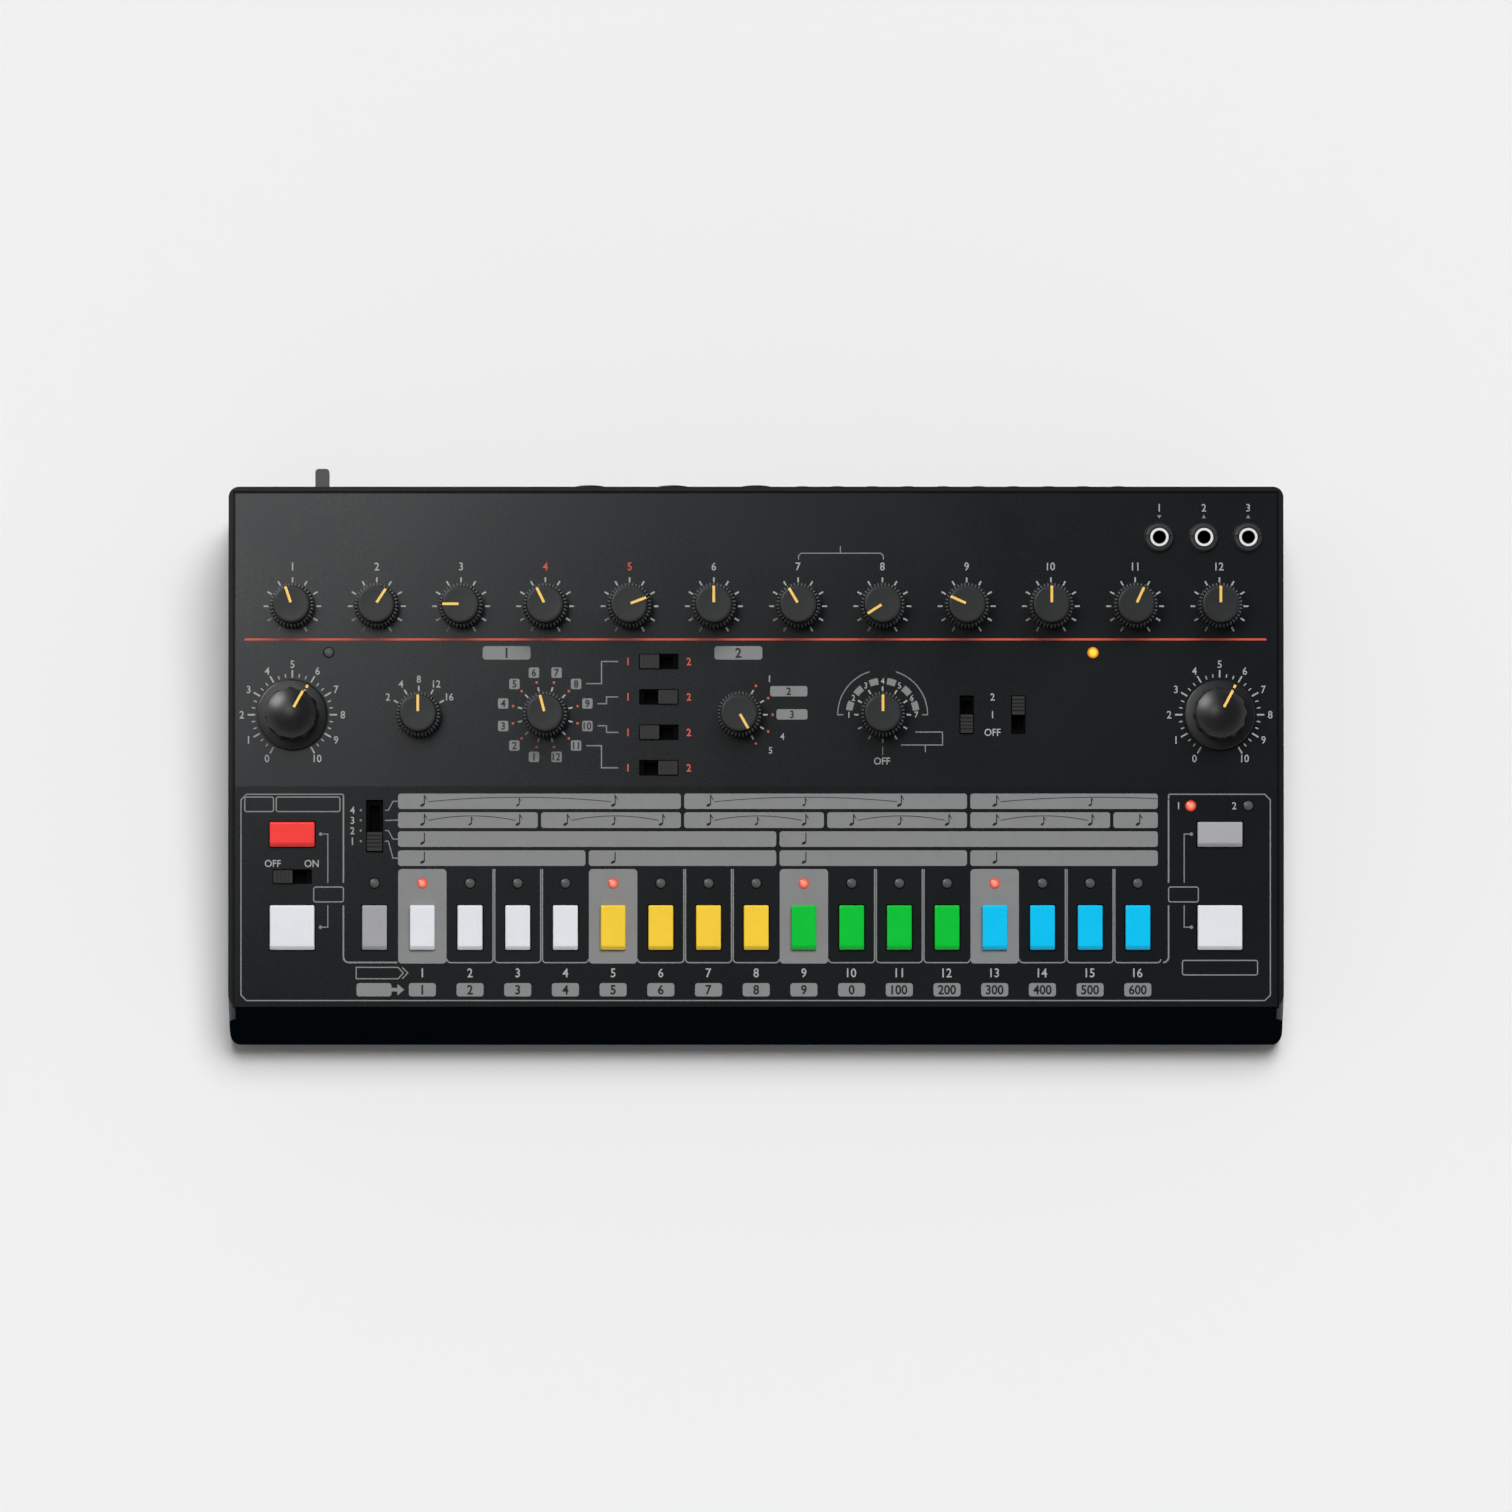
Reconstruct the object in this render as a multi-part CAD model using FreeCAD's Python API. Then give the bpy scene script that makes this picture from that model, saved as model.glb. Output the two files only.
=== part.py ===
import FreeCAD, Part
import math
import os

from FreeCAD import Placement, Rotation, Vector

# A desktop drum machine in millimetres: a plastic case, a folded steel panel on top and a
# plastic nose along the front. X runs to the right, Y from the front to the rear, Z up. The
# origin is on the table, under the middle of the machine.

# Case and nose
CASE_WIDTH = 305.0
CASE_HEIGHT = 43.3          # at the rear, from the underside of the floor to the rim
UPPER_LENGTH = 86.7         # rear edge of the panel face to its fold
LOWER_LENGTH = 63.7         # fold to the front edge of the panel face
UPPER_SLOPE = 6.6           # degrees that each face falls towards the front
LOWER_SLOPE = 8.5
NOSE_DEPTH = 7.9            # how far the nose reaches in front of the panel
NOSE_DROP = 15.5            # height that the nose falls over that depth
NOSE_ROUND = 4.0
NOSE_WALL = 2.5
NOSE_END = 5.2              # length of the nose's ends along the sides
CORNER_RADIUS = 3.0
BOTTOM_ROUND = 1.2
WALL = 3.2
FLOOR = 2.5
LIP = 1.3                   # rim that stands beside the panel
RIM_GAP = 0.7               # groove between the rim and the panel
SEAM = 0.15                 # gap where two housings meet end to end
INNER_WALL = 2.0            # wall behind the nose that carries the panel's front edge
INNER_WALL_SETBACK = 1.0
PAST = 1.0                  # how far a cut runs past the face that it opens
JOIN = 0.1                  # how far two parts of one moulding run into each other

# Steel panel
PANEL_THICKNESS = 1.2
POST_RADIUS = 3.0
POST_LENGTH = 12.0
POST_EDGE = 6.4             # post centre to the outside of the case
REAR_POST = 24.2            # rear of the case to the rearmost posts
MIDDLE_POST = 74.0
FRONT_POST = 7.5            # front edge of the panel to the foremost posts
CENTRE_POST = 48.0
STUD_RADIUS = 2.5
BOSS_RADIUS = 4.0
BOSS_SHELF = 4.0            # plastic left under each screw head
UNDER_PANEL_GAP = 0.3

# Boards
BOARD_THICKNESS = 1.6
BOARD_DEPTH = 8.3           # panel face down to the top of a board behind it
BOARD_SIDE_GAP = 8.5        # board edge to the inside of the case wall
BOARD_BEHIND_KNOBS = 9.6    # level knobs to the rear edge of the upper board
BOARD_ABOVE_FOLD = 2.7
BOARD_BELOW_FOLD = 1.8
BOARD_BEFORE_KEYS = 14.5    # keys to the front edge of the lower board
REAR_BOARD_DEPTH = 31.0
REAR_BOARD_RIGHT = 112.0
REAR_BOARD_SIDE_GAP = 1.0
TOP_JACK_BOARD_DEPTH = 14.6
TOP_JACK_BOARD_MARGIN = 0.6
CHIP_LENGTH = 12.0
CHIP_WIDTH = 9.0
CHIP_HEIGHT = 2.0
UPPER_CHIP_XS = (-80.0, -40.0, 15.0, 55.0, 90.0)
LOWER_CHIP_XS = (-80.0, -25.0, 35.0, 90.0)
CHIPS_BEHIND_KEYS = 15.0
PROCESSOR_SIDE = 14.0
PROCESSOR_HEIGHT = 1.6
PROCESSOR_X = 60.0
HEADER_X = -20.0
HEADER_LENGTH = 40.0
HEADER_WIDTH = 5.0
HEADER_HEIGHT = 6.0
HEADER_INSET = 3.0          # front edge of the rear board to the middle of the header
RIBBON_WIDTH = 36.0
RIBBON_THICKNESS = 1.0
RIBBON_REACH = 12.0         # how far in front of the header it rises
RIBBON_END_GAP = 0.2

# Screws
SCREW_RADIUS = 1.5
SCREW_FIT = 0.02
SCREW_HEAD_RADIUS = 2.75
SCREW_HEAD_HEIGHT = 1.9
SCREW_GRIP = 4.5            # thread inside a post, stud or boss
HEAD_CLEARANCE = 0.5
NOSE_HEAD_CLEARANCE = 0.2
THREAD_END_GAP = 0.5        # room in a hole past the end of its screw
DRIVE_RADIUS = 1.1
DRIVE_DEPTH = 1.0

# Feet
FOOT_HEIGHT = 2.5
FOOT_RADIUS = 5.5
FOOT_SEAT = 0.6
FOOT_TAPER = 0.5
FOOT_INSET_X = 22.0
FOOT_INSET_Y = 20.0

# Knobs and what carries them
SHAFT_RADIUS = 3.0
SHAFT_CLEARANCE = 0.05
SHAFT_END_GAP = 0.3
BUSH_WALL = 0.45
BUSH_TOP = 1.2              # heights are from the panel face
POT_FLOOR = 1.4
BUSH_HOLE_GAP = 0.2
POT_WIDTH = 9.5
POT_LENGTH = 11.0
POT_CORNER = 0.5
ROTARY_SWITCH_WIDTH = 13.0
KNOB_LIFT = 0.8
KNOB_FIT = 0.02
KNOB_RECESS_GAP = 1.2       # room inside a knob over the end of its bush
SMALL_KNOB_RADIUS = 6.45
SMALL_KNOB_ROOT = 5.75
SMALL_KNOB_RIBS = 36
RIB_ROOT_SHARE = 0.3        # half widths of a rib, as shares of the pitch
RIB_TIP_SHARE = 0.16
SMALL_KNOB_WALL = 1.1
SMALL_KNOB_COVER = 3.0      # plastic over the end of the shaft
SMALL_KNOB_EDGE = 0.35
SMALL_KNOB_SKIRT_TOP = 9.0
SMALL_KNOB_CAP_RADIUS = 5.25
SMALL_KNOB_NECK_RADIUS = 5.0
SMALL_KNOB_NECK = 0.6
SMALL_KNOB_TOP = 13.8
BIG_KNOB_SKIRT_RADIUS = 10.15
BIG_KNOB_SKIRT_TOP = 3.0
BIG_KNOB_SKIRT_EDGE = 0.5
BIG_KNOB_WALL = 1.3
BIG_KNOB_COVER = 4.2
BIG_KNOB_RADIUS = 7.65
BIG_KNOB_FLUTES = 12
BIG_KNOB_FLUTE_RADIUS = 2.6
BIG_KNOB_FLUTE_DEPTH = 0.55
BIG_KNOB_SHOULDER = 11.5
BIG_KNOB_TOP = 15.0
POINTER_WIDTH = 0.75
POINTER_START = 0.45
POINTER_DEPTH = 0.5
BIG_POINTER_START = 1.8
BIG_POINTER_SIDE_DEPTH = 0.9
SKIRT_POINTER_DEPTH = 1.3
POT_SWEEP = 150.0           # degrees either way from the middle

# Keys and buttons
KEY_WIDTH = 7.2
KEY_LENGTH = 12.9
KEY_PITCH = 13.78
KEY_COUNT = 16
KEY_ROW = 40.8              # fold to the middle of the keys
FIRST_KEY_X = -96.4
CANCEL_KEY_X = -110.2
KEY_TOP = 2.0
KEY_FRONT_BEVEL = 1.1
KEY_FRONT_DROP = 0.88
KEY_CORNER = 0.4
KEY_EDGE_BEVEL = 0.35
KEY_GAP = 0.3
KEY_HOLE_CORNER = 0.5
KEY_TRAVEL = 0.7
KEY_FLANGE = 0.8            # how far the flange under the panel is wider than its hole
KEY_FLANGE_THICKNESS = 1.0
KEY_REST_GAP = 0.1
STEM_SIDE = 3.0
STEM_LENGTH = 1.1
PLUNGER_RADIUS = 1.7
PLUNGER_GAP = 0.1
PLUNGER_ROOM = 0.8          # left under the plunger when the key is down
TACT_SIDE = 6.0
TACT_CORNER = 0.3
TACT_GAP = 0.7              # left over the switch when the key is down
TACT_FLOOR = 0.5

# Slides
SLIDE_LID = 1.0
SLIDE_WALL = 1.2
SLIDE_GAP = 0.3
SLIDE_LEVER_TOP = 1.3
SLIDE_CORNER = 0.3
SLIDE_RIBS = 5
SLIDE_RIB_DEPTH = 0.4
SLIDE_GROOVE_SHARE = 0.44   # of the pitch of the ribs
SLIDE_SHANK = 2.4
SLIDE_CARRIAGE_LENGTH = 4.0
SLIDE_CARRIAGE_WIDTH = 3.6
SLIDE_CARRIAGE_HEIGHT = 2.0
SLIDE_PLAY = 0.5            # between the carriage and the lid over it
SLIDE_BODY_MARGIN = 1.6

# Lamps
LAMP_RADIUS = 1.5
LAMP_HOLE_GAP = 0.12
LAMP_TOP = 1.0
LAMP_FLANGE_RADIUS = 1.9
LAMP_FLANGE_LOW = -5.6
LAMP_FLANGE_HIGH = -4.6
LAMP_LEG = 0.5
LAMP_LEG_SPREAD = 1.27

# Sockets
MINI_BORE = 1.8             # takes a 3.5 mm plug
MINI_DEPTH = 14.8
MINI_BUSH_RADIUS = 2.75
MINI_OUT = 3.5
MINI_BODY_WIDTH = 9.0
MINI_BODY_RADIUS = 4.5
MINI_COUNT = 10
MINI_PITCH = 10.2
FIRST_MINI_X = 13.45
BIG_BORE = 3.2              # takes a 6.35 mm plug
BIG_DEPTH = 30.0
BIG_BUSH_RADIUS = 4.9
BIG_OUT = 3.4
BIG_BODY_WIDTH = 16.0
BIG_BODY_RISE = 7.0
BIG_COUNT = 3
BIG_PITCH = 24.1
FIRST_BIG_X = -48.2
SOCKET_HOLE_GAP = 0.2
SOCKET_END_WALL = 1.5
SOCKET_AXIS_Z = 24.0
SOCKET_AXIS_RISE = 6.5      # above the rear board
TOP_JACK_ROW = 14.7
TOP_JACK_XS = (116.6, 129.5, 142.3)
TOP_BUSH_RADIUS = 2.9
TOP_BUSH_OUT = 1.9
NUT_RADIUS = 4.0
NUT_THICKNESS = 1.5
NUT_SLOT = 0.9
NUT_SLOT_DEPTH = 0.6
NUT_CHAMFER = 0.3
WASHER_RADIUS = 4.45
WASHER_THICKNESS = 0.4
DIN_XS = (-91.0, -70.0)
DIN_RADIUS = 7.5
DIN_SHELL_RADIUS = 6.6
DIN_CORE_RADIUS = 5.7
DIN_BODY_WIDTH = 18.0
DIN_BODY_HEIGHT = 18.0
DIN_BODY_DEPTH = 13.0
DIN_RISE = 9.0
DIN_PIN_RADIUS = 0.8
DIN_PIN_COUNT = 5
DIN_PIN_STEP = 45.0
DIN_PIN_CIRCLE = 3.75
DIN_PIN_FLOOR = 1.0
DIN_HOLLOW = 8.0
USB_X = -109.0
USB_WIDTH = 12.0
USB_HEIGHT = 11.0
USB_BODY_DEPTH = 16.0
USB_MOUTH_WIDTH = 8.5
USB_MOUTH_HEIGHT = 7.8
USB_MOUTH_CORNER = 1.5
USB_TONGUE_WIDTH = 5.6
USB_TONGUE_HEIGHT = 3.2
USB_TONGUE_SETBACK = 1.0
USB_FACE_SETBACK = 0.3
USB_HOLLOW = 9.0
INLET_X = -139.4
INLET_RADIUS = 4.9
INLET_OUT = 3.0
INLET_BORE = 3.1
INLET_PIN_RADIUS = 1.0
INLET_PIN_SETBACK = 1.0
INLET_BODY_WIDTH = 9.2
INLET_BODY_DEPTH = 12.0
INLET_HOLLOW = 9.5

# Power lever
LEVER_X = -124.0
LEVER_WIDTH = 4.07
LEVER_HEIGHT = 4.0
LEVER_OUT = 9.0
LEVER_TRAVEL = 4.0
LEVER_GAP = 0.3
LEVER_DROP = 1.5            # its middle below the axis of the sockets
LEVER_ROUND = 1.0
POWER_BODY_BACK = 2.0
POWER_BODY_WIDTH = 11.5
POWER_BODY_HEIGHT = 9.0
POWER_BODY_DEPTH = 9.0

# Where things follow from the sizes above
UPPER_RUN = UPPER_LENGTH * math.cos(math.radians(UPPER_SLOPE))
LOWER_RUN = LOWER_LENGTH * math.cos(math.radians(LOWER_SLOPE))
CASE_DEPTH = UPPER_RUN + LOWER_RUN + NOSE_DEPTH
FRONT_Y = -(CASE_DEPTH + LEVER_OUT) / 2
PANEL_FRONT_Y = FRONT_Y + NOSE_DEPTH
FOLD_Y = PANEL_FRONT_Y + LOWER_RUN
REAR_Y = FRONT_Y + CASE_DEPTH
REAR_Z = FOOT_HEIGHT + CASE_HEIGHT
FOLD_Z = REAR_Z - UPPER_LENGTH * math.sin(math.radians(UPPER_SLOPE))
PANEL_FRONT_Z = FOLD_Z - LOWER_LENGTH * math.sin(math.radians(LOWER_SLOPE))
NOSE_Z = PANEL_FRONT_Z - NOSE_DROP
FLOOR_TOP = FOOT_HEIGHT + FLOOR
HALF = CASE_WIDTH / 2
PANEL_HALF = HALF - LIP - RIM_GAP
BOARD_HALF = HALF - WALL - BOARD_SIDE_GAP
FAR = 2 * CASE_WIDTH
SCREW_HOLE = SCREW_RADIUS + SCREW_FIT
WALL_INSIDE_Y = REAR_Y - WALL
REAR_BOARD_TOP = SOCKET_AXIS_Z - SOCKET_AXIS_RISE
UNDER_PANEL = -PANEL_THICKNESS - UNDER_PANEL_GAP
BUSH_RADIUS = SHAFT_RADIUS + SHAFT_CLEARANCE + BUSH_WALL
POT_BORE_LOW = POT_FLOOR - BOARD_DEPTH
SHAFT_LOW = POT_BORE_LOW + SHAFT_END_GAP
KNOB_RECESS_TOP = BUSH_TOP + KNOB_RECESS_GAP
KEY_FLANGE_TOP = -PANEL_THICKNESS - KEY_REST_GAP
KEY_FLANGE_LOW = KEY_FLANGE_TOP - KEY_FLANGE_THICKNESS
PLUNGER_TOP = KEY_FLANGE_LOW - STEM_LENGTH
PLUNGER_LOW = TACT_FLOOR + KEY_TRAVEL + PLUNGER_ROOM - BOARD_DEPTH
TACT_TOP = PLUNGER_TOP - KEY_TRAVEL - TACT_GAP
LEVER_MIDDLE = SOCKET_AXIS_Z - LEVER_DROP
UPPER = Placement(Vector(0, REAR_Y, REAR_Z), Rotation(Vector(1, 0, 0), UPPER_SLOPE))
LOWER = Placement(Vector(0, FOLD_Y, FOLD_Z), Rotation(Vector(1, 0, 0), LOWER_SLOPE))

# Controls on the upper face are placed by x and by their distance from the rear edge, those on
# the lower face by x and by their distance from the fold. A pointer's angle is clockwise from
# straight up, as it stands at rest, and then come the least and the greatest angle.
LEVEL_ROW = 34.6
LEVEL_PITCH = 24.36
LEVEL_COUNT = 12
LEVEL_ANGLES = (-18.6, 33.5, -90.0, -26.3, 69.2, 0.0, -30.4, -122.7, -65.4, 0.0, 25.1, 0.0)
MASTER_ROW = 66.0
MASTER_X = 134.0
MASTER_ANGLE = 28.0
KNOBS = [
    (f"level_knob_{i + 1:02d}", "small", LEVEL_PITCH * (i - (LEVEL_COUNT - 1) / 2), LEVEL_ROW,
     LEVEL_ANGLES[i], -POT_SWEEP, POT_SWEEP)
    for i in range(LEVEL_COUNT)
]
KNOBS += [
    ("tempo_knob", "big", -MASTER_X, MASTER_ROW, MASTER_ANGLE, -POT_SWEEP, POT_SWEEP),
    ("volume_knob", "big", MASTER_X, MASTER_ROW, MASTER_ANGLE, -POT_SWEEP, POT_SWEEP),
    ("measure_knob", "small", -97.45, MASTER_ROW, 0.0, -60.0, 60.0),
    ("instrument_knob", "small", -60.9, MASTER_ROW, -15.0, -165.0, 165.0),
    ("pattern_knob", "small", -4.84, MASTER_ROW, 150.0, 30.0, 150.0),
    ("fill_knob", "small", 36.6, MASTER_ROW, 0.0, -180.0, 150.0),
]
ROTARY_SWITCHES = ("measure_knob", "instrument_knob", "pattern_knob", "fill_knob")

# name, x, distance from the fold, width, length
KEYS = [
    (f"step_key_{i + 1:02d}", FIRST_KEY_X + KEY_PITCH * i, KEY_ROW, KEY_WIDTH, KEY_LENGTH)
    for i in range(KEY_COUNT)
]
KEYS += [
    ("cancel_key", CANCEL_KEY_X, KEY_ROW, KEY_WIDTH, KEY_LENGTH),
    ("clear_button", -MASTER_X, 13.9, 13.0, 7.2),
    ("group_button", MASTER_X, 13.9, 13.0, 7.2),
    ("start_button", -MASTER_X, KEY_ROW, 12.9, 12.9),
    ("write_button", MASTER_X, KEY_ROW, 12.9, 12.9),
]

# name, face, x, distance, slot length, slot width, lever length, travel, turn, rest position
# along the travel from -1 to 1. A turn of 90 runs the slide from front to rear.
SLIDES = [
    (f"voice_slider_{i + 1}", UPPER, -28.1, 50.6 + 10.25 * i, 11.4, 4.55, 5.5, 5.3, 0.0,
     -1.0 if i % 2 == 0 else 1.0)
    for i in range(4)
]
SLIDES += [
    ("fade_in_slider", UPPER, 60.9, 66.0, 11.2, 4.2, 5.3, 5.3, 90.0, -1.0),
    ("fade_out_slider", UPPER, 75.8, 66.0, 11.2, 4.2, 5.3, 5.3, 90.0, 1.0),
    ("auto_slider", LOWER, -MASTER_X, 26.1, 11.4, 4.3, 5.5, 5.3, 0.0, -1.0),
    ("scale_slider", LOWER, -110.2, 11.5, 15.2, 5.0, 5.4, 8.9, 90.0, -1.0),
]

# face, x, distance
LAMPS = [(UPPER, -123.5, 48.0), (UPPER, 97.4, 48.0), (LOWER, 125.6, 5.6), (LOWER, 142.2, 5.6)]
STEP_LAMP_ROW = 28.0
LAMPS += [(LOWER, CANCEL_KEY_X, STEP_LAMP_ROW)]
LAMPS += [(LOWER, FIRST_KEY_X + KEY_PITCH * i, STEP_LAMP_ROW) for i in range(KEY_COUNT)]

# Studs that carry the two boards behind the panel: face, x, distance
STUDS = [
    (UPPER, -5 * LEVEL_PITCH, LEVEL_ROW),
    (UPPER, -LEVEL_PITCH, LEVEL_ROW),
    (UPPER, LEVEL_PITCH, LEVEL_ROW),
    (UPPER, 5 * LEVEL_PITCH, LEVEL_ROW),
    (UPPER, -115.5, 78.0),
    (UPPER, 105.0, 78.0),
    (LOWER, -121.5, 9.5),
    (LOWER, 0.0, 9.5),
    (LOWER, 119.0, 12.5),
    (LOWER, -121.5, KEY_ROW + 10.6),
    (LOWER, 0.0, KEY_ROW + 10.6),
    (LOWER, 121.5, KEY_ROW + 10.6),
]

# Posts that the case screws run into: x, distance along Y from the rear of the case
POSTS = [
    (side * (HALF - POST_EDGE), behind)
    for side in (-1, 1)
    for behind in (REAR_POST, MIDDLE_POST, UPPER_RUN + LOWER_RUN - FRONT_POST)
]
POSTS += [(0.0, CENTRE_POST)]
NOSE_LUG_XS = (-118.0, -40.0, 40.0, 118.0)
NOSE_LUG_WIDTH = 9.0
NOSE_LUG_DEPTH = 6.2
NOSE_LUG_HEIGHT = 8.0
NOSE_PAD = 2.0              # pad of the floor under each lug, so that a screw head can sink in
REAR_BOSS_XS = (-143.0, -60.0, 20.0, 107.0)
REAR_BOSS_RADIUS = 3.0
REAR_BOSS_INSET = 4.0       # front edge of the rear board to its screws


def block(x0, x1, y0, y1, z0, z1):
    return Part.makeBox(x1 - x0, y1 - y0, z1 - z0, Vector(x0, y0, z0))


def slab(width, length, low, high, corner=0.0):
    """A block centred on the Z axis, with its upright edges rounded."""
    shape = block(-width / 2, width / 2, -length / 2, length / 2, low, high)
    if corner:
        uprights = [e for e in shape.Edges if e.BoundBox.ZLength > high - low - 0.01]
        shape = shape.makeFillet(corner, uprights)
    return shape


def rod(radius, low, high, x=0.0, y=0.0):
    return Part.makeCylinder(radius, high - low, Vector(x, y, low))


def cross_prism(points, half_width):
    """A prism along X over an outline of (y, z) points."""
    corners = [Vector(-half_width, y, z) for y, z in points]
    face = Part.Face(Part.makePolygon(corners + corners[:1]))
    return face.extrude(Vector(2 * half_width, 0, 0))


def turned(points):
    """A solid of revolution about Z over an outline of (radius, z) points."""
    corners = [Vector(r, 0, z) for r, z in points]
    face = Part.Face(Part.makePolygon(corners + corners[:1]))
    return face.revolve(Vector(0, 0, 0), Vector(0, 0, 1), 360)


def domed_rod(radius, low, shoulder, top):
    """A rod that ends in part of a sphere, from its shoulder up to its top."""
    rise = top - shoulder
    sphere_radius = (radius * radius + rise * rise) / (2 * rise)
    sphere = Part.makeSphere(sphere_radius, Vector(0, 0, top - sphere_radius))
    cap = rod(radius, shoulder, top + 1).common(sphere)
    return rod(radius, low, shoulder).fuse(cap).removeSplitter()


def placed(shape, frame, x=0.0, distance=0.0, turn=0.0):
    """A copy of a shape built around Z, at its place on a face of the panel."""
    spot = frame.multiply(Placement(Vector(x, -distance, 0), Rotation(Vector(0, 0, 1), turn)))
    copy = shape.copy()
    copy.Placement = spot.multiply(copy.Placement)
    return copy


def lying(shape, x, z, y=0.0):
    """A copy of a shape built around Z, laid so that its Z points out of the rear wall."""
    copy = shape.copy()
    copy.Placement = Placement(Vector(x, y, z), Rotation(Vector(1, 0, 0), -90)).multiply(
        copy.Placement)
    return copy


def panel_point(distance, depth):
    """(y, z) of a point some depth under the panel face, at a distance from the rear edge."""
    if distance <= UPPER_LENGTH:
        point = UPPER.multVec(Vector(0, -distance, -depth))
    else:
        point = LOWER.multVec(Vector(0, UPPER_LENGTH - distance, -depth))
    return point.y, point.z


def fold_point(depth):
    """(y, z) of the fold line, some depth under the face."""
    middle = math.radians((UPPER_SLOPE + LOWER_SLOPE) / 2)
    reach = depth / math.cos(math.radians(LOWER_SLOPE - UPPER_SLOPE) / 2)
    return FOLD_Y + reach * math.sin(middle), FOLD_Z - reach * math.cos(middle)


def panel_height(y, depth):
    """Z of the panel face or of a surface below it, at a place along Y."""
    behind = REAR_Y - y
    if behind <= UPPER_RUN:
        slope = math.radians(UPPER_SLOPE)
        return REAR_Z - behind * math.tan(slope) - depth / math.cos(slope)
    slope = math.radians(LOWER_SLOPE)
    return FOLD_Z - (behind - UPPER_RUN) * math.tan(slope) - depth / math.cos(slope)


def case_outline():
    """The whole housing as one solid, before it is split into case, nose and panel."""
    outline = [
        (REAR_Y, FOOT_HEIGHT),
        (REAR_Y, REAR_Z),
        (FOLD_Y, FOLD_Z),
        (PANEL_FRONT_Y, PANEL_FRONT_Z),
        (FRONT_Y, NOSE_Z),
        (FRONT_Y, FOOT_HEIGHT),
    ]
    solid = cross_prism(outline, HALF)
    nose_line = [
        e for e in solid.Edges
        if e.BoundBox.XLength > CASE_WIDTH - 1 and abs(e.BoundBox.Center.z - NOSE_Z) < 0.1
    ]
    solid = solid.makeFillet(NOSE_ROUND, nose_line)
    corners = []
    for edge in solid.Edges:
        box = edge.BoundBox
        at_side = box.XLength < 0.01
        if at_side and box.YMin > REAR_Y - 0.01:
            corners.append(edge)
        if at_side and box.YMax < PANEL_FRONT_Y + 0.01 and box.ZLength > 0.1:
            corners.append(edge)
    solid = solid.makeFillet(CORNER_RADIUS, corners)
    underside = [e for e in solid.Edges if e.BoundBox.ZMax < FOOT_HEIGHT + 0.01]
    return solid.makeFillet(BOTTOM_ROUND, underside)


def nose_region(outline, gap):
    """The part of the housing that the nose takes, grown or shrunk by a gap at the seam."""
    ends = block(-FAR, FAR, -FAR, FRONT_Y + NOSE_END + gap, -FAR, FAR)
    middle = block(-PANEL_HALF, PANEL_HALF, -FAR, PANEL_FRONT_Y + gap, -FAR, FAR)
    return outline.common(ends.fuse(middle))


def front_nose(outline):
    """A moulded trim along the front, open behind, with four lugs that the screws hold."""
    slope = math.atan2(NOSE_DROP, NOSE_DEPTH)
    step = NOSE_WALL / math.sin(slope)
    deep_y = PANEL_FRONT_Y + NOSE_DEPTH
    deep_z = PANEL_FRONT_Z + (deep_y - step - PANEL_FRONT_Y) * math.tan(slope)
    low_z = NOSE_Z + (NOSE_WALL - step) * math.tan(slope)
    hollow = cross_prism([
        (FRONT_Y + NOSE_WALL, -FAR),
        (FRONT_Y + NOSE_WALL, low_z),
        (deep_y, deep_z),
        (deep_y, -FAR),
    ], HALF - NOSE_WALL)
    floor_room = block(-HALF + NOSE_WALL, HALF - NOSE_WALL, FRONT_Y + NOSE_WALL, FAR,
                       -FAR, FLOOR_TOP + SEAM)
    nose = nose_region(outline, -SEAM).cut([hollow, floor_room])
    for x in NOSE_LUG_XS:
        lug = block(x - NOSE_LUG_WIDTH / 2, x + NOSE_LUG_WIDTH / 2,
                    FRONT_Y + NOSE_WALL / 2, FRONT_Y + NOSE_WALL + NOSE_LUG_DEPTH,
                    FLOOR_TOP + NOSE_PAD, FLOOR_TOP + NOSE_PAD + NOSE_LUG_HEIGHT)
        hole = rod(SCREW_HOLE, FLOOR_TOP, FLOOR_TOP + NOSE_PAD + SCREW_GRIP, x, nose_screw_y())
        nose = nose.fuse(lug.common(outline)).cut(hole)
    return nose.removeSplitter()


def nose_screw_y():
    return FRONT_Y + NOSE_WALL + NOSE_LUG_DEPTH / 2


def post_foot(y):
    """Z of a post's lower end."""
    return panel_height(y, PANEL_THICKNESS) - POST_LENGTH


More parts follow.
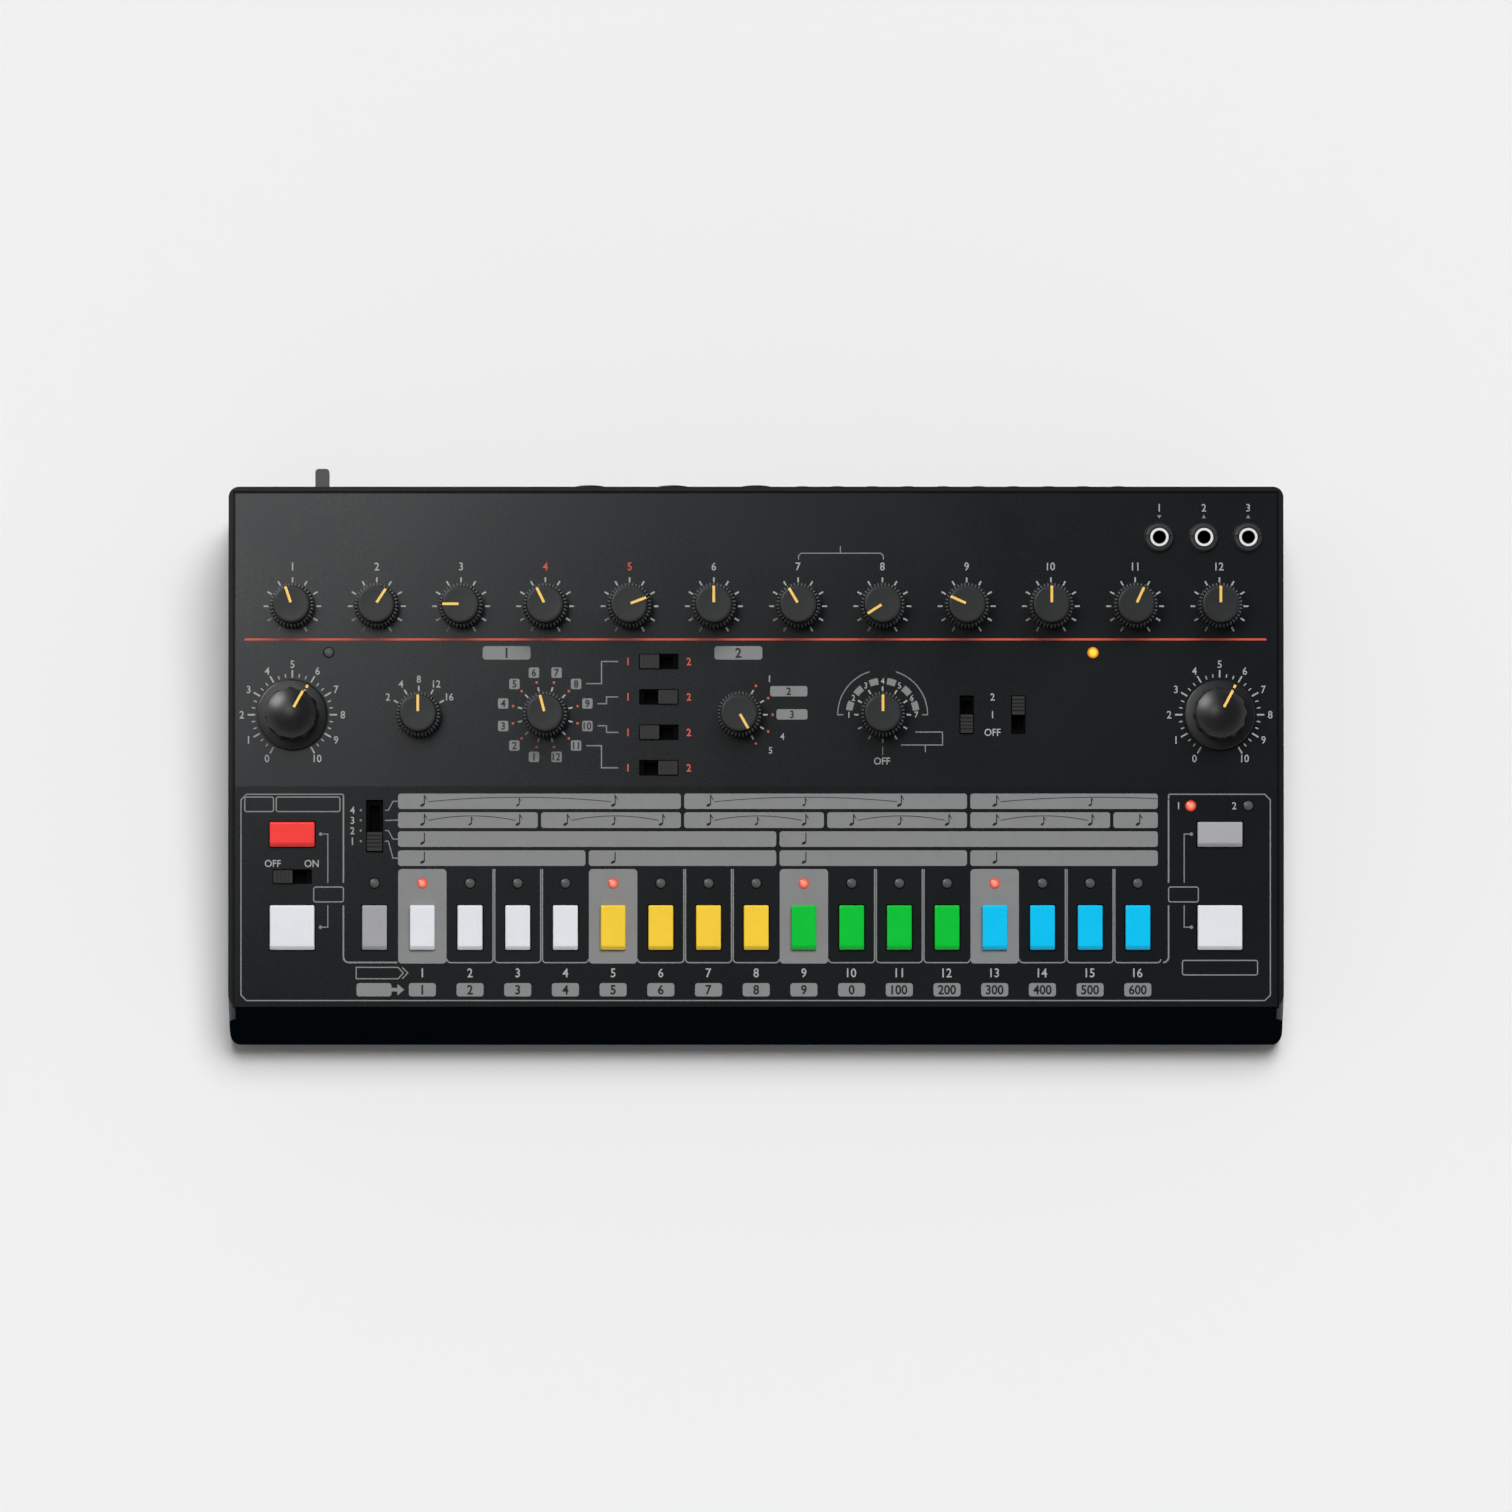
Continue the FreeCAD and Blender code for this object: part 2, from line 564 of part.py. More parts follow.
def lower_case(outline, openings):
    """Floor, rear wall and side walls in one moulding, with bosses for every screw."""
    case = outline.cut(nose_region(outline, 0.0))
    seat = cross_prism([
        panel_point(LIP, PANEL_THICKNESS),
        fold_point(PANEL_THICKNESS),
        panel_point(UPPER_LENGTH + LOWER_LENGTH + NOSE_DEPTH, PANEL_THICKNESS),
        panel_point(UPPER_LENGTH + LOWER_LENGTH + NOSE_DEPTH, -WALL * 2),
        fold_point(-WALL * 2),
        panel_point(LIP, -WALL * 2),
    ], HALF - LIP)
    case = case.cut(seat)
    wall_front = PANEL_FRONT_Y + INNER_WALL_SETBACK
    case = case.cut(block(-HALF + WALL, HALF - WALL, wall_front + INNER_WALL, WALL_INSIDE_Y,
                          FLOOR_TOP, FAR))
    case = case.cut(block(-HALF + WALL, HALF - WALL, -FAR, wall_front, FLOOR_TOP, FAR))
    tongue = block(-HALF + NOSE_WALL + SEAM, HALF - NOSE_WALL - SEAM,
                   FRONT_Y + NOSE_WALL + SEAM, PANEL_FRONT_Y + INNER_WALL_SETBACK,
                   FOOT_HEIGHT, FLOOR_TOP)
    pads = [
        block(x - NOSE_LUG_WIDTH / 2, x + NOSE_LUG_WIDTH / 2, FRONT_Y + NOSE_WALL + SEAM,
              PANEL_FRONT_Y + INNER_WALL_SETBACK, FOOT_HEIGHT, FLOOR_TOP + NOSE_PAD)
        for x in NOSE_LUG_XS
    ]
    case = case.fuse([tongue] + pads)
    for x, behind in POSTS:
        y = REAR_Y - behind
        case = case.fuse(rod(BOSS_RADIUS, FOOT_HEIGHT, post_foot(y), x, y))
    for x in REAR_BOSS_XS:
        case = case.fuse(rod(REAR_BOSS_RADIUS, FOOT_HEIGHT,
                             REAR_BOARD_TOP - BOARD_THICKNESS, x, rear_boss_y()))
    cuts = list(openings)
    for x, behind in POSTS:
        y = REAR_Y - behind
        cuts.append(rod(SCREW_HOLE, FOOT_HEIGHT - PAST, post_foot(y) + PAST, x, y))
        cuts.append(rod(SCREW_HEAD_RADIUS + HEAD_CLEARANCE, FOOT_HEIGHT - PAST,
                        post_foot(y) - BOSS_SHELF, x, y))
    for x in REAR_BOSS_XS:
        cuts.append(rod(SCREW_HOLE, REAR_BOARD_TOP - BOARD_THICKNESS - SCREW_GRIP, FAR,
                        x, rear_boss_y()))
    for x in NOSE_LUG_XS:
        cuts.append(rod(SCREW_HOLE, FOOT_HEIGHT - PAST, FAR, x, nose_screw_y()))
        cuts.append(rod(SCREW_HEAD_RADIUS + NOSE_HEAD_CLEARANCE, FOOT_HEIGHT - PAST,
                        FOOT_HEIGHT + NOSE_PAD, x, nose_screw_y()))
    for x, y in foot_places():
        cuts.append(rod(FOOT_RADIUS, FOOT_HEIGHT - PAST, FOOT_HEIGHT + FOOT_SEAT, x, y))
    return case.cut(cuts).removeSplitter()


def rear_boss_y():
    return WALL_INSIDE_Y - REAR_BOARD_DEPTH + REAR_BOSS_INSET


def foot_places():
    return [
        (side * (HALF - FOOT_INSET_X), y)
        for side in (-1, 1)
        for y in (FRONT_Y + FOOT_INSET_Y, REAR_Y - FOOT_INSET_Y)
    ]


def steel_panel(openings):
    """One sheet folded across its width, with studs for the boards and posts for the case."""
    rear = LIP + RIM_GAP
    front = UPPER_LENGTH + LOWER_LENGTH
    sheet = cross_prism([
        panel_point(rear, 0),
        (FOLD_Y, FOLD_Z),
        panel_point(front, 0),
        panel_point(front, PANEL_THICKNESS),
        fold_point(PANEL_THICKNESS),
        panel_point(rear, PANEL_THICKNESS),
    ], PANEL_HALF)
    sheet = sheet.cut(openings)
    additions = []
    holes = []
    for frame, x, distance in STUDS:
        additions.append(placed(rod(STUD_RADIUS, -BOARD_DEPTH, -PANEL_THICKNESS / 2),
                                frame, x, distance))
        holes.append(placed(rod(SCREW_HOLE, -BOARD_DEPTH - PAST, SCREW_GRIP - BOARD_DEPTH),
                            frame, x, distance))
    for x, behind in POSTS:
        y = REAR_Y - behind
        foot = post_foot(y)
        additions.append(rod(POST_RADIUS, foot, panel_height(y, PANEL_THICKNESS / 2), x, y))
        holes.append(rod(SCREW_HOLE, foot - PAST, foot + SCREW_GRIP + THREAD_END_GAP,
                         x, y))
    return sheet.fuse(additions).cut(holes).removeSplitter()


def screw(grip, through):
    """A pan-head screw whose head sits on the plane z = 0 and whose thread points along +Z."""
    head = turned([(0, 0), (SCREW_HEAD_RADIUS, 0), (SCREW_HEAD_RADIUS, -SCREW_HEAD_HEIGHT * 0.4),
                   (SCREW_HEAD_RADIUS * 0.7, -SCREW_HEAD_HEIGHT), (0, -SCREW_HEAD_HEIGHT)])
    drive = rod(DRIVE_RADIUS, -SCREW_HEAD_HEIGHT, DRIVE_DEPTH - SCREW_HEAD_HEIGHT)
    return head.fuse(rod(SCREW_RADIUS, -JOIN, grip + through)).cut(drive).removeSplitter()


def jack_nut():
    """A round slotted nut on a thin black washer."""
    top = WASHER_THICKNESS + NUT_THICKNESS
    washer = rod(WASHER_RADIUS, 0, WASHER_THICKNESS)
    nut = turned([
        (0, 0), (NUT_RADIUS, 0), (NUT_RADIUS, top - NUT_CHAMFER), (NUT_RADIUS - NUT_CHAMFER, top),
        (0, top),
    ])
    slot = block(-FAR, FAR, -NUT_SLOT / 2, NUT_SLOT / 2, top - NUT_SLOT_DEPTH, FAR)
    bore = rod(TOP_BUSH_RADIUS + SCREW_FIT, -PAST, FAR)
    return washer.fuse(nut).cut(slot).cut(bore).removeSplitter()


def fasteners():
    """Every screw, and the nuts of the jacks on top."""
    pieces = []
    case_screw = screw(SCREW_GRIP, BOSS_SHELF)
    for x, behind in POSTS:
        y = REAR_Y - behind
        seat = Placement(Vector(x, y, post_foot(y) - BOSS_SHELF), Rotation())
        pieces.append(placed(case_screw, seat))
    nose_screw = screw(SCREW_GRIP - THREAD_END_GAP, FLOOR)
    for x in NOSE_LUG_XS:
        seat = Placement(Vector(x, nose_screw_y(), FOOT_HEIGHT + NOSE_PAD), Rotation())
        pieces.append(placed(nose_screw, seat))
    board_screw = screw(SCREW_GRIP - THREAD_END_GAP, BOARD_THICKNESS)
    for frame, x, distance in STUDS:
        seat = frame.multiply(Placement(Vector(0, 0, -BOARD_DEPTH - BOARD_THICKNESS), Rotation()))
        pieces.append(placed(board_screw, seat, x, distance))
    down = Rotation(Vector(1, 0, 0), 180)
    for x in REAR_BOSS_XS:
        seat = Placement(Vector(x, rear_boss_y(), REAR_BOARD_TOP), down)
        pieces.append(placed(board_screw, seat))
    for x in TOP_JACK_XS:
        pieces.append(placed(jack_nut(), UPPER, x, TOP_JACK_ROW))
    return pieces


def rubber_feet():
    """Four round feet, each stuck into a shallow recess of the floor."""
    radius = FOOT_RADIUS - SEAM
    foot = turned([
        (0, FOOT_HEIGHT + FOOT_SEAT), (radius, FOOT_HEIGHT + FOOT_SEAT), (radius, FOOT_HEIGHT),
        (radius - FOOT_TAPER, FOOT_TAPER), (radius - 2 * FOOT_TAPER, 0), (0, 0),
    ])
    return [placed(foot, Placement(Vector(x, y, 0), Rotation())) for x, y in foot_places()]


def small_knob():
    """A ribbed barrel under a plain cap, with a coloured line let into the top."""
    corners = []
    step = 2 * math.pi / SMALL_KNOB_RIBS
    for i in range(SMALL_KNOB_RIBS):
        for share, radius in ((-RIB_ROOT_SHARE, SMALL_KNOB_ROOT),
                              (-RIB_TIP_SHARE, SMALL_KNOB_RADIUS),
                              (RIB_TIP_SHARE, SMALL_KNOB_RADIUS),
                              (RIB_ROOT_SHARE, SMALL_KNOB_ROOT)):
            angle = (i + share) * step
            corners.append(Vector(radius * math.cos(angle), radius * math.sin(angle), KNOB_LIFT))
    ribbed = Part.Face(Part.makePolygon(corners + corners[:1]))
    barrel = ribbed.extrude(Vector(0, 0, SMALL_KNOB_SKIRT_TOP - KNOB_LIFT))
    chamfer = SMALL_KNOB_RADIUS - SMALL_KNOB_ROOT
    cone = turned([
        (0, KNOB_LIFT), (SMALL_KNOB_RADIUS + PAST, KNOB_LIFT),
        (SMALL_KNOB_RADIUS + PAST, SMALL_KNOB_SKIRT_TOP - chamfer - PAST),
        (SMALL_KNOB_ROOT, SMALL_KNOB_SKIRT_TOP), (0, SMALL_KNOB_SKIRT_TOP),
    ])
    neck_low = SMALL_KNOB_SKIRT_TOP - PAST
    neck_top = SMALL_KNOB_SKIRT_TOP + SMALL_KNOB_NECK
    cap = turned([
        (0, neck_low), (SMALL_KNOB_NECK_RADIUS, neck_low), (SMALL_KNOB_NECK_RADIUS, neck_top),
        (SMALL_KNOB_CAP_RADIUS, neck_top + SMALL_KNOB_CAP_RADIUS - SMALL_KNOB_NECK_RADIUS),
        (SMALL_KNOB_CAP_RADIUS, SMALL_KNOB_TOP - SMALL_KNOB_EDGE),
        (SMALL_KNOB_CAP_RADIUS - SMALL_KNOB_EDGE, SMALL_KNOB_TOP), (0, SMALL_KNOB_TOP),
    ])
    body = barrel.common(cone).fuse(cap)
    line = block(-POINTER_WIDTH / 2, POINTER_WIDTH / 2, POINTER_START, FAR,
                 SMALL_KNOB_TOP - POINTER_DEPTH, FAR)
    shaft_top = SMALL_KNOB_TOP - SMALL_KNOB_COVER
    return hollowed(body, shaft_top, SMALL_KNOB_ROOT - SMALL_KNOB_WALL), line, shaft_top


def big_knob():
    """A fluted dome on a wide flat skirt, with a line over the dome and one on the skirt."""
    skirt = turned([
        (0, KNOB_LIFT), (BIG_KNOB_SKIRT_RADIUS, KNOB_LIFT),
        (BIG_KNOB_SKIRT_RADIUS, BIG_KNOB_SKIRT_TOP - 2 * BIG_KNOB_SKIRT_EDGE),
        (BIG_KNOB_SKIRT_RADIUS - BIG_KNOB_SKIRT_EDGE, BIG_KNOB_SKIRT_TOP - BIG_KNOB_SKIRT_EDGE),
        (BIG_KNOB_RADIUS, BIG_KNOB_SKIRT_TOP), (0, BIG_KNOB_SKIRT_TOP),
    ])
    dome = domed_rod(BIG_KNOB_RADIUS, BIG_KNOB_SKIRT_TOP - JOIN, BIG_KNOB_SHOULDER, BIG_KNOB_TOP)
    reach = BIG_KNOB_RADIUS + BIG_KNOB_FLUTE_RADIUS - BIG_KNOB_FLUTE_DEPTH
    flutes = []
    for i in range(BIG_KNOB_FLUTES):
        angle = 2 * math.pi * (i + 0.5) / BIG_KNOB_FLUTES
        flutes.append(rod(BIG_KNOB_FLUTE_RADIUS, BIG_KNOB_SKIRT_TOP, FAR,
                          reach * math.cos(angle), reach * math.sin(angle)))
    body = dome.cut(flutes).fuse(skirt)
    dome_line = block(-POINTER_WIDTH / 2, POINTER_WIDTH / 2, BIG_POINTER_START, FAR,
                      BIG_KNOB_SHOULDER, FAR)
    skirt_line = block(-POINTER_WIDTH / 2, POINTER_WIDTH / 2, BIG_KNOB_RADIUS, FAR,
                       BIG_KNOB_SKIRT_TOP - SKIRT_POINTER_DEPTH, BIG_KNOB_SKIRT_TOP + PAST)
    core = domed_rod(BIG_KNOB_RADIUS - BIG_POINTER_SIDE_DEPTH, KNOB_LIFT,
                     BIG_KNOB_SHOULDER - POINTER_DEPTH, BIG_KNOB_TOP - POINTER_DEPTH)
    line = dome_line.cut(core).fuse(skirt_line)
    shaft_top = BIG_KNOB_TOP - BIG_KNOB_COVER
    return hollowed(body, shaft_top, BIG_KNOB_RADIUS - BIG_KNOB_WALL), line, shaft_top


def hollowed(body, shaft_top, skirt_inside):
    """Cuts the shaft's bore and the wide recess that clears the bush."""
    recess = rod(skirt_inside, KNOB_LIFT - PAST, KNOB_RECESS_TOP)
    bore = rod(SHAFT_RADIUS + KNOB_FIT, KNOB_LIFT - PAST, shaft_top)
    return body.cut([recess, bore])


def knob_set(kind):
    """The solids of one knob, with the pointer straight up: body, line and shaft."""
    body, line, top = small_knob() if kind == "small" else big_knob()
    pointer = body.common(line)
    body = body.cut(line)
    flat = block(-FAR, FAR, -FAR, -SHAFT_RADIUS / 2, KNOB_RECESS_TOP, FAR)
    shaft = rod(SHAFT_RADIUS, SHAFT_LOW, top).cut(flat)
    return body.Solids + pointer.Solids + [shaft]


def pot_bodies():
    """Housings of the rotary controls, each standing on a board with its bush in the panel."""
    pieces = []
    for name, _, x, distance, _, _, _ in KNOBS:
        width = ROTARY_SWITCH_WIDTH if name in ROTARY_SWITCHES else POT_WIDTH
        length = ROTARY_SWITCH_WIDTH if name in ROTARY_SWITCHES else POT_LENGTH
        housing = slab(width, length, -BOARD_DEPTH, UNDER_PANEL, POT_CORNER).fuse(
            rod(BUSH_RADIUS, UNDER_PANEL - JOIN, BUSH_TOP))
        bore = rod(SHAFT_RADIUS + SHAFT_CLEARANCE, POT_BORE_LOW, FAR)
        pieces.append(placed(housing.cut(bore).removeSplitter(), UPPER, x, distance))
    return pieces


def key_solids(width, length):
    """A bevelled cap with a flange under the panel and a stem, and the switch's plunger."""
    front = -length / 2
    cap = slab(width, length, KEY_FLANGE_TOP, KEY_TOP, KEY_CORNER)
    bevel = cross_prism([
        (front - PAST, KEY_TOP + PAST), (front - PAST, KEY_TOP - KEY_FRONT_DROP),
        (front, KEY_TOP - KEY_FRONT_DROP), (front + KEY_FRONT_BEVEL, KEY_TOP),
        (front + KEY_FRONT_BEVEL, KEY_TOP + PAST),
    ], width)
    rim = [
        e for e in cap.Edges
        if e.BoundBox.ZMin > KEY_TOP - 0.01 and e.BoundBox.YMax > front + KEY_CORNER + JOIN
    ]
    cap = cap.makeChamfer(KEY_EDGE_BEVEL, rim).cut(bevel)
    flange = slab(width + 2 * (KEY_GAP + KEY_FLANGE), length + 2 * (KEY_GAP + KEY_FLANGE),
                  KEY_FLANGE_LOW, KEY_FLANGE_TOP)
    stem = slab(STEM_SIDE, STEM_SIDE, PLUNGER_TOP, KEY_FLANGE_LOW)
    plunger = rod(PLUNGER_RADIUS, PLUNGER_LOW, PLUNGER_TOP)
    return [cap.fuse([flange, stem]).removeSplitter(), plunger]


def key_switches():
    """A tact switch under each key and button."""
    switch = slab(TACT_SIDE, TACT_SIDE, -BOARD_DEPTH, TACT_TOP, TACT_CORNER).cut(
        rod(PLUNGER_RADIUS + PLUNGER_GAP, -BOARD_DEPTH + TACT_FLOOR, FAR))
    return [placed(switch, LOWER, x, distance) for _, x, distance, _, _ in KEYS]


def slide_lever(slot_width, lever_length, travel, rest):
    """A ribbed cap on a shank, with a carriage that runs inside the switch."""
    cap_low = UNDER_PANEL + SLIDE_GAP
    cap = slab(lever_length, slot_width - 2 * SLIDE_GAP, cap_low, SLIDE_LEVER_TOP, SLIDE_CORNER)
    pitch = lever_length / SLIDE_RIBS
    reach = pitch * SLIDE_GROOVE_SHARE / 2
    for i in range(1, SLIDE_RIBS):
        x = -lever_length / 2 + pitch * i
        groove = block(x - reach, x + reach, -FAR, FAR, SLIDE_LEVER_TOP - SLIDE_RIB_DEPTH, FAR)
        cap = cap.cut(groove)
    shank_low = UNDER_PANEL - SLIDE_LID - SLIDE_PLAY
    shank = slab(SLIDE_SHANK, SLIDE_SHANK, shank_low, cap_low + JOIN)
    carriage = slab(SLIDE_CARRIAGE_LENGTH, SLIDE_CARRIAGE_WIDTH,
                    shank_low - SLIDE_CARRIAGE_HEIGHT, shank_low)
    lever = cap.fuse([shank, carriage]).removeSplitter()
    lever.translate(Vector(rest * travel / 2, 0, 0))
    return lever


def slide_body(slot_length, travel):
    """The switch under a slide: a box with a slotted lid and room for the carriage."""
    side = SLIDE_CARRIAGE_WIDTH + 2 * SLIDE_GAP
    room_length = SLIDE_CARRIAGE_LENGTH + travel + 2 * SLIDE_GAP
    length = max(slot_length + 2 * SLIDE_BODY_MARGIN, room_length + 2 * SLIDE_WALL)
    body = slab(length, side + 2 * SLIDE_WALL, -BOARD_DEPTH, UNDER_PANEL)
    room_top = UNDER_PANEL - SLIDE_LID
    room = slab(room_length, side,
                room_top - SLIDE_PLAY - SLIDE_CARRIAGE_HEIGHT - SLIDE_GAP, room_top)
    slot = slab(SLIDE_SHANK + travel + 2 * SLIDE_GAP, SLIDE_SHANK + 2 * SLIDE_GAP,
                room_top - JOIN, UNDER_PANEL + PAST)
    return body.cut([room, slot])


def slide_bodies():
    """The slide switches behind the panel and the power switch behind the rear wall."""
    pieces = []
    for _, frame, x, distance, slot, _, _, travel, turn, _ in SLIDES:
        pieces.append(placed(slide_body(slot, travel), frame, x, distance, turn))
    rear = WALL_INSIDE_Y - UNDER_PANEL_GAP
    body = block(LEVER_X - POWER_BODY_WIDTH / 2, LEVER_X + POWER_BODY_WIDTH / 2,
                 rear - POWER_BODY_DEPTH, rear,
                 REAR_BOARD_TOP, REAR_BOARD_TOP + POWER_BODY_HEIGHT)
    reach = (LEVER_WIDTH + LEVER_TRAVEL) / 2 + LEVER_GAP
    rise = LEVER_HEIGHT / 2 + LEVER_GAP
    room = block(LEVER_X - reach, LEVER_X + reach, rear - POWER_BODY_DEPTH + POWER_BODY_BACK,
                 rear + PAST, LEVER_MIDDLE - rise, LEVER_MIDDLE + rise)
    pieces.append(body.cut(room))
    return pieces


def power_lever():
    """A flat tab that stands out of the rear wall, rounded at its end."""
    front = WALL_INSIDE_Y - UNDER_PANEL_GAP - POWER_BODY_DEPTH + POWER_BODY_BACK + LEVER_GAP
    tab = block(LEVER_X - LEVER_WIDTH / 2, LEVER_X + LEVER_WIDTH / 2, front, REAR_Y + LEVER_OUT,
                LEVER_MIDDLE - LEVER_HEIGHT / 2, LEVER_MIDDLE + LEVER_HEIGHT / 2)
    end = [
        e for e in tab.Edges
        if e.BoundBox.YMin > REAR_Y + LEVER_OUT - 0.01 and e.BoundBox.ZLength > 1
    ]
    tab = tab.makeFillet(LEVER_ROUND, end)
    tab.translate(Vector(-LEVER_TRAVEL / 2, 0, 0))
    return tab


def power_slot():
    """The opening in the rear wall that the power lever slides in."""
    reach = (LEVER_WIDTH + LEVER_TRAVEL) / 2 + 2 * LEVER_GAP
    rise = LEVER_HEIGHT / 2 + LEVER_GAP
    return block(LEVER_X - reach, LEVER_X + reach, WALL_INSIDE_Y - PAST, REAR_Y + PAST,
                 LEVER_MIDDLE - rise, LEVER_MIDDLE + rise)


def lamps():
    """Round lamps on two legs, with the dome standing a little out of the panel."""
    bulb = domed_rod(LAMP_RADIUS, LAMP_FLANGE_LOW + JOIN, 0, LAMP_TOP)
    flange = rod(LAMP_FLANGE_RADIUS, LAMP_FLANGE_LOW, LAMP_FLANGE_HIGH)
    legs = [
        block(x - LAMP_LEG / 2, x + LAMP_LEG / 2, -LAMP_LEG / 2, LAMP_LEG / 2,
              -BOARD_DEPTH, LAMP_FLANGE_LOW + JOIN)
        for x in (-LAMP_LEG_SPREAD, LAMP_LEG_SPREAD)
    ]
    lamp = bulb.fuse([flange] + legs).removeSplitter()
    return [placed(lamp, frame, x, distance) for frame, x, distance in LAMPS]


def mini_jack():
    """A 3.5 mm jack with its mouth at z = 0 and its body below, standing on a board."""
    body_top = -MINI_OUT - WALL - UNDER_PANEL_GAP
    low = -MINI_DEPTH - SOCKET_END_WALL
    body = block(-MINI_BODY_WIDTH / 2, MINI_BODY_WIDTH / 2, -MINI_BODY_RADIUS, SOCKET_AXIS_RISE,
                 low, body_top)
    bush = rod(MINI_BUSH_RADIUS, body_top - JOIN, 0)
    return body.fuse(bush).cut(rod(MINI_BORE, -MINI_DEPTH, PAST)).removeSplitter()


def big_jack():
    """A 6.35 mm jack, laid out like the small one."""
    body_top = -BIG_OUT - WALL - UNDER_PANEL_GAP
    low = -BIG_DEPTH - SOCKET_END_WALL
    body = block(-BIG_BODY_WIDTH / 2, BIG_BODY_WIDTH / 2, -BIG_BODY_RISE, SOCKET_AXIS_RISE,
                 low, body_top)
    bush = rod(BIG_BUSH_RADIUS, body_top - JOIN, 0)
    return body.fuse(bush).cut(rod(BIG_BORE, -BIG_DEPTH, PAST)).removeSplitter()


def top_jack():
    """A 3.5 mm jack whose threaded bush comes up through the panel."""
    body = slab(MINI_BODY_WIDTH, MINI_BODY_WIDTH, -TOP_JACK_BOARD_DEPTH, UNDER_PANEL)
    bush = rod(TOP_BUSH_RADIUS, UNDER_PANEL - JOIN, TOP_BUSH_OUT)
    bore = rod(MINI_BORE, TOP_BUSH_OUT - MINI_DEPTH, TOP_BUSH_OUT + PAST)
    return body.fuse(bush).cut(bore).removeSplitter()


def mini_jack_xs():
    return [FIRST_MINI_X + MINI_PITCH * i for i in range(MINI_COUNT)]


def big_jack_xs():
    return [FIRST_BIG_X + BIG_PITCH * i for i in range(BIG_COUNT)]


def jack_sockets():
    """Every jack: the small and large ones of the rear wall and the three on top."""
    pieces = [lying(mini_jack(), x, SOCKET_AXIS_Z, REAR_Y + MINI_OUT) for x in mini_jack_xs()]
    pieces += [lying(big_jack(), x, SOCKET_AXIS_Z, REAR_Y + BIG_OUT) for x in big_jack_xs()]
    pieces += [placed(top_jack(), UPPER, x, TOP_JACK_ROW) for x in TOP_JACK_XS]
    return pieces


def din_socket():
    """The housing of a five-pole round socket, flush with the wall, and the core in it."""
    body_top = -WALL - UNDER_PANEL_GAP
    body = block(-DIN_BODY_WIDTH / 2, DIN_BODY_WIDTH / 2, DIN_RISE - DIN_BODY_HEIGHT, DIN_RISE,
                 body_top - DIN_BODY_DEPTH, body_top)
    shell = rod(DIN_RADIUS, body_top - JOIN, 0)
    hollow = rod(DIN_SHELL_RADIUS, -DIN_HOLLOW, PAST)
    pins = []
    for i in range(DIN_PIN_COUNT):
        angle = math.radians(180 + DIN_PIN_STEP * i)
        pins.append(rod(DIN_PIN_RADIUS, -DIN_HOLLOW + DIN_PIN_FLOOR, PAST,
                        DIN_PIN_CIRCLE * math.cos(angle), DIN_PIN_CIRCLE * math.sin(angle)))
    core = rod(DIN_CORE_RADIUS, -DIN_HOLLOW, 0).cut(pins)
    return [body.fuse(shell).cut(hollow).removeSplitter(), core]


def usb_socket():
    """The housing of a square data socket, and the tongue in its mouth."""
    body_top = -WALL - UNDER_PANEL_GAP
    body = block(-USB_WIDTH / 2, USB_WIDTH / 2, SOCKET_AXIS_RISE - USB_HEIGHT, SOCKET_AXIS_RISE,
                 body_top - USB_BODY_DEPTH, -USB_FACE_SETBACK)
    mouth = slab(USB_MOUTH_WIDTH, USB_MOUTH_HEIGHT, -USB_HOLLOW, PAST, USB_MOUTH_CORNER)
    tongue = slab(USB_TONGUE_WIDTH, USB_TONGUE_HEIGHT, -USB_HOLLOW, -USB_TONGUE_SETBACK)
    return [body.cut(mouth), tongue]


def power_inlet():
    """A barrel inlet: a housing with a round collar, and the pin in its bore."""
    body_top = -INLET_OUT - WALL - UNDER_PANEL_GAP
    body = block(-INLET_BODY_WIDTH / 2, INLET_BODY_WIDTH / 2, -INLET_RADIUS, SOCKET_AXIS_RISE,
                 body_top - INLET_BODY_DEPTH, body_top)
    collar = rod(INLET_RADIUS, body_top - JOIN, 0)
    hollow = rod(INLET_BORE, -INLET_HOLLOW, PAST)
    pin = rod(INLET_PIN_RADIUS, -INLET_HOLLOW, -INLET_PIN_SETBACK)
    return [body.fuse(collar).cut(hollow).removeSplitter(), pin]


def data_sockets():
    """Two round sockets, a square one and the power inlet, on the left of the rear wall."""
    din_z = REAR_BOARD_TOP + DIN_RISE
    pieces = [lying(s, x, din_z, REAR_Y) for x in DIN_XS for s in din_socket()]
    pieces += [lying(s, USB_X, SOCKET_AXIS_Z, REAR_Y) for s in usb_socket()]
    pieces += [lying(s, INLET_X, SOCKET_AXIS_Z, REAR_Y + INLET_OUT) for s in power_inlet()]
    return pieces


